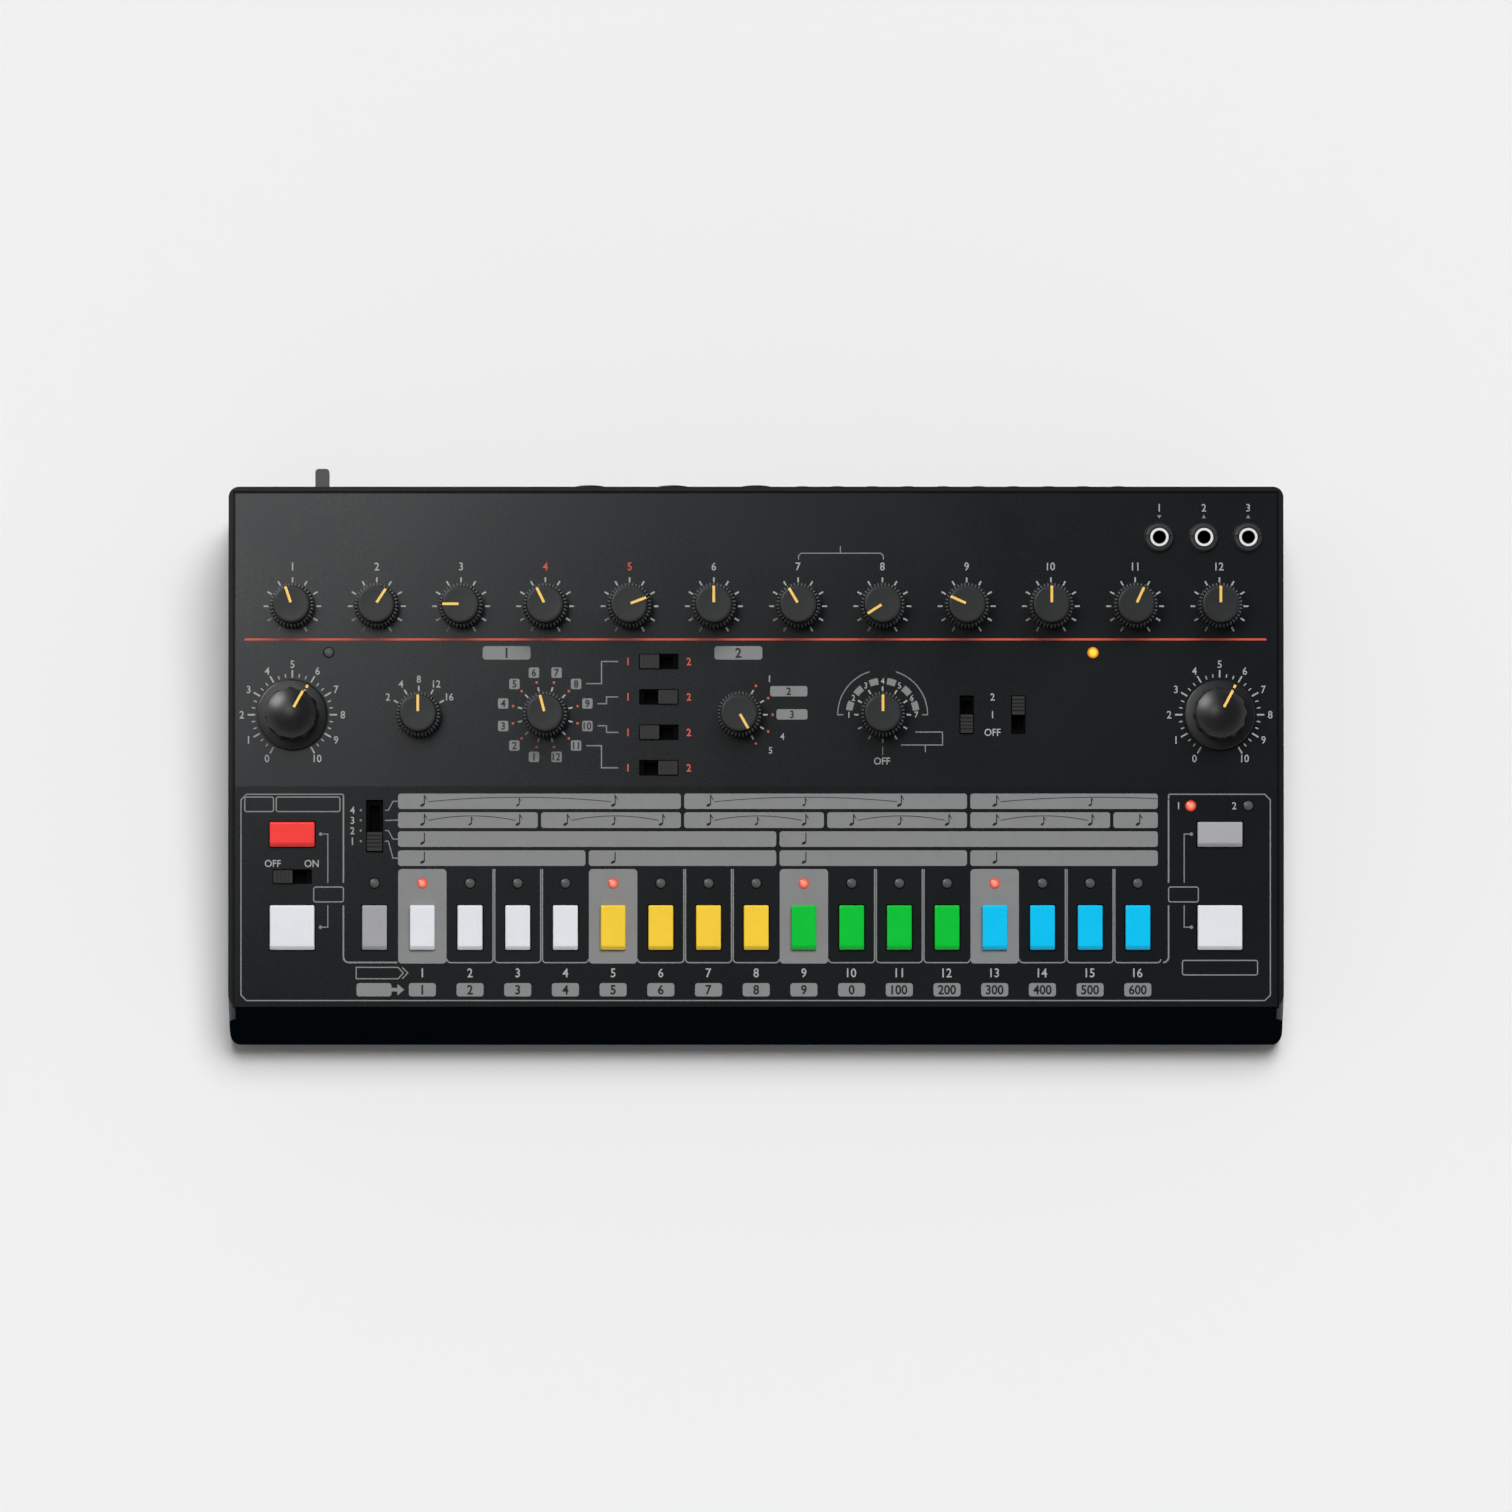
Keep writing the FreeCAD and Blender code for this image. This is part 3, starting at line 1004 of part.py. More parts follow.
def rear_wall_openings():
    """Holes that the sockets and the power lever come out of."""
    low = -WALL - PAST
    cuts = [power_slot()]
    for x in mini_jack_xs():
        cuts.append(lying(rod(MINI_BUSH_RADIUS + SOCKET_HOLE_GAP, low, PAST), x, SOCKET_AXIS_Z,
                          REAR_Y))
    for x in big_jack_xs():
        cuts.append(lying(rod(BIG_BUSH_RADIUS + SOCKET_HOLE_GAP, low, PAST), x, SOCKET_AXIS_Z,
                          REAR_Y))
    for x in DIN_XS:
        cuts.append(lying(rod(DIN_RADIUS + SOCKET_HOLE_GAP, low, PAST), x,
                          REAR_BOARD_TOP + DIN_RISE, REAR_Y))
    cuts.append(lying(rod(INLET_RADIUS + SOCKET_HOLE_GAP, low, PAST), INLET_X, SOCKET_AXIS_Z,
                      REAR_Y))
    usb = block(-USB_WIDTH / 2 - SOCKET_HOLE_GAP, USB_WIDTH / 2 + SOCKET_HOLE_GAP,
                SOCKET_AXIS_RISE - USB_HEIGHT - SOCKET_HOLE_GAP,
                SOCKET_AXIS_RISE + SOCKET_HOLE_GAP, low, PAST)
    cuts.append(lying(usb, USB_X, SOCKET_AXIS_Z, REAR_Y))
    return cuts


def panel_openings():
    """Holes for bushes, keys, slides, lamps and the jacks on top."""
    low = -PANEL_THICKNESS - PAST
    cuts = []
    bush_hole = rod(BUSH_RADIUS + BUSH_HOLE_GAP, low, PAST)
    for _, _, x, distance, _, _, _ in KNOBS:
        cuts.append(placed(bush_hole, UPPER, x, distance))
    for _, x, distance, width, length in KEYS:
        hole = slab(width + 2 * KEY_GAP, length + 2 * KEY_GAP, low, PAST, KEY_HOLE_CORNER)
        cuts.append(placed(hole, LOWER, x, distance))
    for _, frame, x, distance, slot, width, _, _, turn, _ in SLIDES:
        cuts.append(placed(slab(slot, width, low, PAST, SLIDE_CORNER), frame, x, distance, turn))
    for frame, x, distance in LAMPS:
        cuts.append(placed(rod(LAMP_RADIUS + LAMP_HOLE_GAP, low, PAST), frame, x, distance))
    for x in TOP_JACK_XS:
        cuts.append(placed(rod(TOP_BUSH_RADIUS + BUSH_HOLE_GAP, low, PAST), UPPER, x,
                           TOP_JACK_ROW))
    return cuts


def circuit_boards():
    """Two boards behind the panel, one along the rear wall, one under the top jacks."""
    low = -BOARD_DEPTH - BOARD_THICKNESS
    control = block(-BOARD_HALF, BOARD_HALF, BOARD_ABOVE_FOLD - UPPER_LENGTH,
                    BOARD_BEHIND_KNOBS - LEVEL_ROW, low, -BOARD_DEPTH)
    key = block(-BOARD_HALF, BOARD_HALF, -KEY_ROW - BOARD_BEFORE_KEYS, -BOARD_BELOW_FOLD,
                low, -BOARD_DEPTH)
    control_holes = [rod(SCREW_HOLE, low - PAST, FAR, x, -distance)
                     for frame, x, distance in STUDS if frame is UPPER]
    key_holes = [rod(SCREW_HOLE, low - PAST, FAR, x, -distance)
                 for frame, x, distance in STUDS if frame is LOWER]
    control = placed(control.cut(control_holes), UPPER)
    key = placed(key.cut(key_holes), LOWER)
    for x, behind in POSTS:
        y = REAR_Y - behind
        gap = rod(BOSS_RADIUS + HEAD_CLEARANCE, 0, FAR, x, y)
        control = control.cut(gap)
        key = key.cut(gap)
    rear_left = -HALF + WALL + REAR_BOARD_SIDE_GAP
    rear = block(rear_left, REAR_BOARD_RIGHT, WALL_INSIDE_Y - REAR_BOARD_DEPTH,
                 WALL_INSIDE_Y - SEAM, REAR_BOARD_TOP - BOARD_THICKNESS, REAR_BOARD_TOP)
    rear = rear.cut([rod(SCREW_HOLE, 0, FAR, x, rear_boss_y()) for x in REAR_BOSS_XS])
    for x, behind in POSTS:
        rear = rear.cut(rod(BOSS_RADIUS + HEAD_CLEARANCE, 0, FAR, x, REAR_Y - behind))
    first, last = TOP_JACK_XS[0], TOP_JACK_XS[-1]
    margin = MINI_BODY_WIDTH / 2 + TOP_JACK_BOARD_MARGIN
    jack = block(first - margin, last + margin, -TOP_JACK_ROW - margin, -TOP_JACK_ROW + margin,
                 -TOP_JACK_BOARD_DEPTH - BOARD_THICKNESS, -TOP_JACK_BOARD_DEPTH)
    pieces = [control, key, rear, placed(jack, UPPER)]
    pieces += chips_and_links(low)
    return pieces


def chips_and_links(low):
    """Chips on the undersides of the boards, and the ribbon that joins the rear board."""
    chip = slab(CHIP_LENGTH, CHIP_WIDTH, low - CHIP_HEIGHT, low)
    pieces = [placed(chip, UPPER, x, MASTER_ROW) for x in UPPER_CHIP_XS]
    pieces += [placed(chip, LOWER, x, KEY_ROW - CHIPS_BEHIND_KEYS) for x in LOWER_CHIP_XS]
    front = WALL_INSIDE_Y - REAR_BOARD_DEPTH
    header_y = front + HEADER_INSET
    processor_y = header_y + (PROCESSOR_SIDE - HEADER_WIDTH) / 2
    processor = slab(PROCESSOR_SIDE, PROCESSOR_SIDE, REAR_BOARD_TOP,
                     REAR_BOARD_TOP + PROCESSOR_HEIGHT)
    pieces.append(placed(processor, Placement(Vector(PROCESSOR_X, processor_y, 0), Rotation())))
    header = slab(HEADER_LENGTH, HEADER_WIDTH, REAR_BOARD_TOP, REAR_BOARD_TOP + HEADER_HEIGHT)
    pieces.append(placed(header, Placement(Vector(HEADER_X, header_y, 0), Rotation())))
    header_face = header_y - HEADER_WIDTH / 2
    ribbon_low = REAR_BOARD_TOP + HEADER_HEIGHT / 2 - RIBBON_THICKNESS / 2
    ribbon_y = header_y - RIBBON_REACH
    under = panel_height(ribbon_y, BOARD_DEPTH + BOARD_THICKNESS) - RIBBON_END_GAP
    ribbon = cross_prism([
        (header_face, ribbon_low),
        (header_face, ribbon_low + RIBBON_THICKNESS),
        (ribbon_y + RIBBON_THICKNESS, ribbon_low + RIBBON_THICKNESS),
        (ribbon_y + RIBBON_THICKNESS, under),
        (ribbon_y, under),
        (ribbon_y, ribbon_low),
    ], RIBBON_WIDTH / 2)
    ribbon.translate(Vector(HEADER_X, 0, 0))
    pieces.append(ribbon)
    return pieces


def write(name, solids):
    shape = solids[0] if len(solids) == 1 else Part.makeCompound(solids)
    shape.exportStep(f"parts/{name}.step")


os.makedirs("parts", exist_ok=True)

OUTLINE = case_outline()
write("lower_case", lower_case(OUTLINE, rear_wall_openings()).Solids)
write("front_nose", front_nose(OUTLINE).Solids)
write("steel_panel", steel_panel(panel_openings()).Solids)
write("circuit_boards", circuit_boards())
write("pot_bodies", pot_bodies())
write("key_switches", key_switches())
write("slide_switch_bodies", slide_bodies())
write("lamps", lamps())
write("jack_sockets", jack_sockets())
write("data_sockets", data_sockets())
write("fasteners", fasteners())
write("rubber_feet", rubber_feet())

KNOB_SETS = {kind: knob_set(kind) for kind in ("small", "big")}
for name, kind, x, distance, angle, _, _ in KNOBS:
    write(name, [placed(s, UPPER, x, distance, -angle) for s in KNOB_SETS[kind]])
for name, x, distance, width, length in KEYS:
    write(name, [placed(s, LOWER, x, distance) for s in key_solids(width, length)])
for name, frame, x, distance, _, width, lever, travel, turn, rest in SLIDES:
    write(name, [placed(slide_lever(width, lever, travel, rest), frame, x, distance, turn)])
write("power_slider", [power_lever()])
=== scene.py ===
import math

import bmesh
import bpy
from mathutils import Matrix, Vector


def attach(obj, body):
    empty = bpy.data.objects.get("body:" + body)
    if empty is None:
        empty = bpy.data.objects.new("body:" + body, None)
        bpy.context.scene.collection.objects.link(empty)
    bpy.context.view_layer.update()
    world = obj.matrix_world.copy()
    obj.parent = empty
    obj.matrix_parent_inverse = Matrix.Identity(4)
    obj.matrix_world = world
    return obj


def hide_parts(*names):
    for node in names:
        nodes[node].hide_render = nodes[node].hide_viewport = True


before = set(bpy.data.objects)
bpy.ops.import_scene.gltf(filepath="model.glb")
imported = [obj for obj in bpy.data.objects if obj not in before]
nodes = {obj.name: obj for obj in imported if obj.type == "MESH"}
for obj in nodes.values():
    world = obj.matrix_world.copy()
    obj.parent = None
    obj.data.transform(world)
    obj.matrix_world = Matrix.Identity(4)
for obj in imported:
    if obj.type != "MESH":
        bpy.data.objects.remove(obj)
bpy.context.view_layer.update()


# The lower case is one moulding of black plastic: floor, rear wall and side walls. Its mould was
# etched, so the outside has a fine even grain that breaks up the light. Everything else is
# screwed to it from below.
CASE_BLACK = (0.0056, 0.0066, 0.0075)
CASE_GRAIN = 0.00035
CASE_GRAIN_DEPTH = 0.000018


def add(material, kind, **values):
    """Adds a node to a material. A value that is another node's socket is linked, not copied."""
    made = material.node_tree.nodes.new("ShaderNode" + kind)
    for name, value in values.items():
        socket = made.inputs[name.replace("_", " ")]
        if isinstance(value, bpy.types.NodeSocket):
            material.node_tree.links.new(value, socket)
        else:
            socket.default_value = value
    return made


def finish(name, colour, roughness, specular=0.5, metallic=0.0):
    """A material with one shader at its plain values."""
    material = bpy.data.materials.new(name)
    material.use_nodes = True
    shader = material.node_tree.nodes["Principled BSDF"]
    shader.inputs["Base Color"].default_value = (*colour, 1.0)
    shader.inputs["Roughness"].default_value = roughness
    shader.inputs["Specular IOR Level"].default_value = specular
    shader.inputs["Metallic"].default_value = metallic
    return material


def maths(material, operation, first, second):
    """Adds a maths node and gives back its result."""
    made = add(material, "Math")
    made.operation = operation
    for socket, value in zip(made.inputs, (first, second)):
        if isinstance(value, bpy.types.NodeSocket):
            material.node_tree.links.new(value, socket)
        else:
            socket.default_value = value
    return made.outputs[0]


def grain(material, size, depth, tone=0.12, cloud=0.02, gloss=0.08):
    """Surface detail from the piece's own coordinates: bumps of a size and depth in metres, and
    slow changes of tone and gloss, as moulding, handling and dust leave them."""
    fine_share, least, most = 0.35, 0.3, 0.7
    tree = material.node_tree
    shader = tree.nodes["Principled BSDF"]
    colour = shader.inputs["Base Color"].default_value[:3]
    roughness = shader.inputs["Roughness"].default_value
    place = add(material, "TexCoord").outputs["Object"]
    fine = add(material, "TexNoise", Vector=place, Scale=1 / size, Detail=3.0).outputs["Fac"]
    slow = add(material, "TexNoise", Vector=place, Scale=1 / cloud, Detail=5.0, Roughness=0.6)
    both = maths(material, "ADD", maths(material, "MULTIPLY", fine, fine_share),
                 maths(material, "MULTIPLY", slow.outputs["Fac"], 1 - fine_share))
    ramp = add(material, "ValToRGB", Fac=both)
    low, high = ramp.color_ramp.elements
    low.position, high.position = least, most
    low.color = (*[c * (1 - tone) for c in colour], 1.0)
    high.color = (*[min(1.0, c * (1 + tone)) for c in colour], 1.0)
    tree.links.new(ramp.outputs["Color"], shader.inputs["Base Color"])
    spread = add(material, "MapRange", Value=both, From_Min=least, From_Max=most,
                 To_Min=max(0.03, roughness - gloss), To_Max=min(1.0, roughness + gloss))
    tree.links.new(spread.outputs["Result"], shader.inputs["Roughness"])
    bump = add(material, "Bump", Height=fine, Distance=depth)
    tree.links.new(bump.outputs["Normal"], shader.inputs["Normal"])
    return material


def dress(node_name, material):
    """Gives a piece that comes from the CAD model its finish."""
    slots = nodes[node_name].data.materials
    slots.clear()
    slots.append(material)


case_plastic = grain(finish("black_grained_plastic", CASE_BLACK, 0.50, 0.22), CASE_GRAIN,
                     CASE_GRAIN_DEPTH, 0.14, 0.03)
dress("lower_case", case_plastic)


# The nose is a separate black moulding along the front. It has the same plastic but a smoother
# mould, and stands in the shade of the panel's edge. Its colour is made darker than the case's
# and it has no shine: painted shade.
NOSE_SHADED_BLACK = (0.0016, 0.0034, 0.0050)
nose_painted_shade = grain(finish("black_nose_painted_shade", NOSE_SHADED_BLACK, 0.55, 0.0), 0.0003, 0.000010,
                     0.12, 0.03)
dress("front_nose", nose_painted_shade)


# The panel is one folded steel sheet with a baked satin coating. The coating levels out with a
# faint orange peel and has metal flakes far too small to see one by one.
PANEL_GREY = (0.0052, 0.0074, 0.0086)
PANEL_PEEL = 0.0011
panel_coat = grain(finish("satin_steel_coating", PANEL_GREY, 0.28, 0.28), PANEL_PEEL, 0.0000010,
                   0.10, 0.05, 0.04)
dress("steel_panel", panel_coat)


# The print on the panel is screen ink in grey, light grey and red, as thick as a coat of paint.
# Bars and boxes are solid grey, and their numbers and notes are left open to the dark coating.
# Distances run in millimetres across the panel from its middle, and down it from its rear edge.
REAR_EDGE_Y = 74.013
REAR_EDGE_Z = 45.8
FOLD = 86.7
UPPER_TILT = math.radians(6.6)
LOWER_TILT = math.radians(8.5)
INK_GREY = (0.238, 0.241, 0.241)
INK_LIGHT = (0.400, 0.405, 0.405)
INK_RED = (0.640, 0.098, 0.062)
INK_DARK = (0.006, 0.007, 0.008)
INK_TOP = 0.030
INK_ON_INK = 0.045
INK_LOW = -0.02
LINE = 0.46
THIN_LINE = 0.34
HAIR_LINE = 0.3
BOLD = 0.022
LEVEL_ROW = 34.6
LEVEL_PITCH = 24.36
CONTROL_ROW = 66.0
MASTER_X = 134.0
MEASURE_X = -97.45
INSTRUMENT_X = -60.9
PATTERN_X = -4.84
FILL_X = 36.6
TICK_FOOT = 6.95
TICK_TIP = 8.35
SELECTOR_TICK_TIP = 8.2
RED_DOT_RING = 9.65
STEP_PITCH = 13.78
FIRST_STEP_X = -96.4


def stand(x, distance, turn=0.0):
    """The place on the panel where a piece that is built in millimetres round Z stands."""
    tilt, start_y, start_z, run = UPPER_TILT, REAR_EDGE_Y, REAR_EDGE_Z, distance
    if distance > FOLD:
        start_y -= FOLD * math.cos(UPPER_TILT)
        start_z -= FOLD * math.sin(UPPER_TILT)
        tilt, run = LOWER_TILT, distance - FOLD
    spot = Vector((x, start_y - run * math.cos(tilt), start_z - run * math.sin(tilt)))
    return (Matrix.Scale(0.001, 4) @ Matrix.Translation(spot) @ Matrix.Rotation(tilt, 4, "X")
            @ Matrix.Rotation(turn, 4, "Z"))


def show(name, data):
    """Puts a mesh, curve, light or camera into the scene."""
    made = bpy.data.objects.new(name, data)
    bpy.context.scene.collection.objects.link(made)
    return made


def settle(shape, name, material, body, stands_for=(), crease=35.0, place=None):
    """Turns a closed bmesh into a piece of the object, moved to its place where one is given."""
    if place is not None:
        bmesh.ops.transform(shape, matrix=place, verts=shape.verts[:])
    bmesh.ops.recalc_face_normals(shape, faces=shape.faces[:])
    for face in shape.faces:
        face.smooth = True
    limit = math.radians(crease)
    for edge in shape.edges:
        if len(edge.link_faces) == 2 and edge.calc_face_angle(0.0) > limit:
            edge.smooth = False
    mesh = bpy.data.meshes.new(name)
    shape.to_mesh(mesh)
    shape.free()
    mesh.materials.append(material)
    made = show(name, mesh)
    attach(made, body)
    if stands_for:
        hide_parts(*stands_for)
    return made


print_grey, print_light, print_red, print_dark = [], [], [], []


def ink(colour, outline):
    """Adds one closed outline of (x, distance) points to a colour of ink."""
    colour.append(([tuple(p) for p in outline], [list(range(len(outline)))]))


def round_corners(x0, x1, d0, d1, corner, steps=5):
    """Points round a rectangle with rounded corners."""
    points = []
    for cx, cd, start in ((x1 - corner, d0 + corner, 0), (x1 - corner, d1 - corner, 90),
                          (x0 + corner, d1 - corner, 180), (x0 + corner, d0 + corner, 270)):
        for k in range(steps + 1):
            angle = math.radians(start + 90 * k / steps)
            points.append((cx + corner * math.sin(angle), cd - corner * math.cos(angle)))
    return points


def ring_point(x, distance, radius, degrees):
    """A point round a knob, at an angle clockwise from straight up."""
    angle = math.radians(degrees)
    return x + radius * math.sin(angle), distance - radius * math.cos(angle)


def stroke(colour, points, width=LINE, closed=False):
    """A line of even width along points, mitred where it bends."""
    count = len(points)
    sides = []
    for k in range(count):
        here = Vector(points[k])
        before = Vector(points[k - 1]) if closed or k else None
        after = Vector(points[(k + 1) % count]) if closed or k < count - 1 else None
        normals = []
        for a, b in ((before, here), (here, after)):
            if a is not None and b is not None and (b - a).length > 1e-9:
                run = (b - a).normalized()
                normals.append(Vector((-run.y, run.x)))
        across = sum(normals, Vector((0, 0))).normalized()
        reach = width / 2 / max(0.35, across.dot(normals[0]))
        sides.append((here + across * reach, here - across * reach))
    for k in range(count if closed else count - 1):
        (a, b), (c, d) = sides[k], sides[(k + 1) % count]
        ink(colour, [a, c, d, b])


def dot(colour, x, distance, radius, steps=16):
    ink(colour, [ring_point(x, distance, radius, 360 * k / steps) for k in range(steps)])


def figures(colour, text, x, distance, height, weight=0.010):
    """Plain figures, centred on a point, with their height in millimetres."""
    curve = bpy.data.curves.new("figures", "FONT")
    curve.body = text
    curve.offset = weight
    curve.resolution_u = 3
    carrier = show("figures", curve)
    drawn = bpy.data.meshes.new_from_object(
        carrier.evaluated_get(bpy.context.evaluated_depsgraph_get()))
    spots = [v.co.copy() for v in drawn.vertices]
    low_x, high_x = min(p.x for p in spots), max(p.x for p in spots)
    low_y, high_y = min(p.y for p in spots), max(p.y for p in spots)
    scale = height / (high_y - low_y)
    places = [(x + (p.x - (low_x + high_x) / 2) * scale * 0.94,
               distance - (p.y - (low_y + high_y) / 2) * scale) for p in spots]
    colour.append((places, [list(face.vertices) for face in drawn.polygons]))
    bpy.data.objects.remove(carrier)
    bpy.data.curves.remove(curve)
    bpy.data.meshes.remove(drawn)


def ticks(x, distance, angles, inner, outer, width=LINE, colour=print_light):
    for degrees in angles:
        stroke(colour, [ring_point(x, distance, inner, degrees),
                        ring_point(x, distance, outer, degrees)], width)


def box(colour, x0, x1, d0, d1, corner=0.7):
    ink(colour, round_corners(x0, x1, d0, d1, corner))


def frame_line(x0, x1, d0, d1):
    stroke(print_grey, round_corners(x0, x1, d0, d1, 0.6), THIN_LINE, closed=True)


def lower(*points):
    """Points whose distances are counted from the fold."""
    return [(x, FOLD + distance) for x, distance in points]


# Scales of the level knobs, a red line under them, and their numbers
for i in range(12):
    x = LEVEL_PITCH * (i - 5.5)
    ticks(x, LEVEL_ROW, range(-150, 151, 30), TICK_FOOT, TICK_TIP)
    figures(print_red if i in (3, 4) else print_light, str(i + 1), x, 23.1, 2.3)
stroke(print_red, [(-147.8, 44.2), (147.5, 44.2)], 0.62)
stroke(print_grey, [(12.3, 21.1), (12.3, 20.0), (13.0, 19.25), (36.1, 19.25), (36.8, 20.0),
                    (36.8, 21.1)], HAIR_LINE)
stroke(print_grey, [(24.4, 17.2), (24.4, 19.15)], HAIR_LINE)

# Scales of the two big knobs, from 0 to 10
for x in (-MASTER_X, MASTER_X):
    ticks(x, CONTROL_ROW, range(-150, 151, 30), 10.75, 12.9)
    ticks(x, CONTROL_ROW, [a for a in range(-150, 151, 10) if a % 30], 10.9, 11.9, 0.32)
    for k in range(11):
        figures(print_light, str(k), *ring_point(x, CONTROL_ROW, 14.6, 30 * k - 150), 2.2)

# Scales of the four rotary switches
ticks(MEASURE_X, CONTROL_ROW, (-60, -30, 0, 30, 60), TICK_FOOT, TICK_TIP)
for text, degrees in (("2", -60), ("4", -30), ("8", 0), ("12", 30), ("16", 60)):
    figures(print_light, text, *ring_point(MEASURE_X, CONTROL_ROW, 10.3, degrees), 2.1)
ticks(INSTRUMENT_X, CONTROL_ROW, range(-165, 166, 30), TICK_FOOT, SELECTOR_TICK_TIP)
for k in range(12):
    degrees = 30 * k - 165
    dot(print_red, *ring_point(INSTRUMENT_X, CONTROL_ROW, RED_DOT_RING, degrees), 0.38)
    x, distance = ring_point(INSTRUMENT_X, CONTROL_ROW, 12.6, degrees)
    box(print_grey, x - 1.5, x + 1.5, distance - 1.5, distance + 1.5, 0.5)
    figures(print_dark, str(k + 1), x, distance, 2.2, BOLD)
for row, start_x, start, end in ((0, -49.6, 57.0, 50.6), (1, -46.4, 62.8, 60.85),
                                 (2, -46.4, 69.2, 71.1), (3, -49.6, 74.95, 81.35)):
    bend = -44.65 if row in (0, 3) else -43.2
    stroke(print_grey, [(start_x + 0.6, start), (bend, start), (bend, end), (-39.8, end)],
           THIN_LINE)
    figures(print_red, "1", -37.0, end, 2.2, BOLD)
    figures(print_red, "2", -19.4, end, 2.2, BOLD)
ticks(PATTERN_X, CONTROL_ROW, range(30, 151, 30), TICK_FOOT, SELECTOR_TICK_TIP)
for k in range(5):
    dot(print_red, *ring_point(PATTERN_X, CONTROL_ROW, RED_DOT_RING, 30 + 30 * k), 0.38)
for text, x, distance in (("1", 3.9, 55.6), ("4", 7.6, 72.3), ("5", 4.2, 76.3)):
    figures(print_light, text, x, distance, 1.9)
for text, x0, distance in (("2", 4.1, 59.2), ("3", 5.9, 65.9)):
    box(print_grey, x0, 14.85, distance - 1.5, distance + 1.5, 0.6)
    figures(print_dark, text, (x0 + 14.85) / 2, distance, 2.2, BOLD)
for x0, text in ((-79.0, "1"), (-12.0, "2")):
    box(print_grey, x0, x0 + 13.85, 46.15, 50.05, 0.9)
    figures(print_dark, text, x0 + 6.9, 48.1, 2.9, BOLD)
ticks(FILL_X, CONTROL_ROW, range(-180, 180, 30), TICK_FOOT, SELECTOR_TICK_TIP)
for k in range(7):
    figures(print_light, str(k + 1), *ring_point(FILL_X, CONTROL_ROW, 9.75, 30 * k - 90), 1.75)
for k in range(6):
    arc = [ring_point(FILL_X, CONTROL_ROW, 9.75, 30 * k - 90 + 7.5 + 15 * j / 5) for j in range(6)]
    stroke(print_grey, arc, 1.9)
for side in (-1, 1):
    arc = [ring_point(FILL_X, CONTROL_ROW, 13.0, side * (17 + 73 * j / 16)) for j in range(17)]
    stroke(print_grey, arc + [ring_point(FILL_X, CONTROL_ROW, 11.4, side * 90)], HAIR_LINE)
figures(print_light, "OFF", FILL_X - 0.2, 79.4, 2.1)
for path in ([(FILL_X, 75.0), (FILL_X, 77.6)],
             [(46.1, 71.0), (53.9, 71.0), (53.9, 74.75), (41.9, 74.75)],
             [(48.95, 74.9), (48.95, 76.8)]):
    stroke(print_grey, path, HAIR_LINE)
for text, distance in (("2", 60.85), ("1", 65.95), ("OFF", 71.1)):
    figures(print_light, text, 68.35, distance, 2.1)
for text, x, point in (("1", 116.6, 1), ("2", 129.5, -1), ("3", 142.3, -1)):
    figures(print_light, text, x, 6.1, 2.2)
    ink(print_grey, [(x - 0.6, 8.7 - 0.45 * point), (x + 0.6, 8.7 - 0.45 * point),
                     (x, 8.7 + 0.6 * point)])

# The frame round the lower face, its side boxes, and the lines that tie a button to its box
stroke(print_grey, lower((-119.2, 2.3), (-147.2, 2.3), (-148.8, 3.9), (-148.8, 60.3),
                         (-147.2, 61.9), (147.0, 61.9), (148.6, 60.3), (148.6, 3.9),
                         (147.0, 2.3), (119.2, 2.3)), THIN_LINE)
for side in (-1, 1):
    edge, tie_x, end = side * 119.2, side * 123.7, side * 125.8
    stroke(print_grey, lower((edge, 2.5), (edge, 27.9)))
    frame_line(min(side * 127.8, edge), max(side * 127.8, edge), FOLD + 29.1, FOLD + 33.4)
    corner = [ring_point(side * 117.6, FOLD + 49.3, 1.6, side * (90 + 18 * j)) for j in range(6)]
    foot = lower((-103.6, 50.9)) if side < 0 else []
    stroke(print_grey, lower((edge, 34.4)) + corner + foot)
    stroke(print_grey, lower((end, 13.8), (tie_x, 13.8), (tie_x, 27.9)), HAIR_LINE)
    stroke(print_grey, lower((tie_x, 34.4), (tie_x, 40.7), (end, 40.7)), HAIR_LINE)
    for distance in (13.8, 40.7):
        dot(print_grey, end, FOLD + distance, 0.5)
frame_line(-147.7, -139.4, FOLD + 3.1, FOLD + 7.3)
frame_line(-138.6, -120.2, FOLD + 3.1, FOLD + 7.3)
frame_line(123.2, 144.9, FOLD + 50.3, FOLD + 54.5)
for text, x, distance in (("OFF", -139.6, 22.3), ("ON", -128.4, 22.3), ("1", 122.1, 5.6),
                          ("2", 138.2, 5.6)):
    figures(print_light, text, x, FOLD + distance, 2.1)

# Four bars that show how long a step is, with notes, and the lines from the slide to them
BAR_ROWS = ((2.1, 6.55), (7.5, 12.05), (13.0, 17.5), (18.5, 23.0))
BAR_SPANS = ((6, 6, 4), (3, 3, 3, 3, 3, 1), (8, 8), (4, 4, 4, 4))
SCALE_DETENTS = (6.9, 9.85, 12.8, 15.85)
ROW_START = FIRST_STEP_X - STEP_PITCH / 2


def note(step, row, size, flag):
    """A note that stands on its row at a step."""
    x = FIRST_STEP_X + STEP_PITCH * (step - 1)
    foot = FOLD + row[1] - 1.1
    head = []
    for k in range(14):
        angle = 2 * math.pi * k / 14
        across, up = 0.66 * size * math.cos(angle), 0.42 * size * math.sin(angle)
        head.append((x + across, foot - up - across * 0.35))
    ink(print_dark, head)
    top = foot - 3.0 * size
    stem = x + 0.58 * size
    stroke(print_dark, [(stem, foot - 0.2), (stem, top)], HAIR_LINE)
    if flag:
        ink(print_dark, [(stem, top), (stem + 0.75 * size, top + 1.15 * size),
                         (stem + 0.72 * size, top + 1.75 * size),
                         (stem + 0.5 * size, top + 1.15 * size), (stem, top + 0.65 * size)])


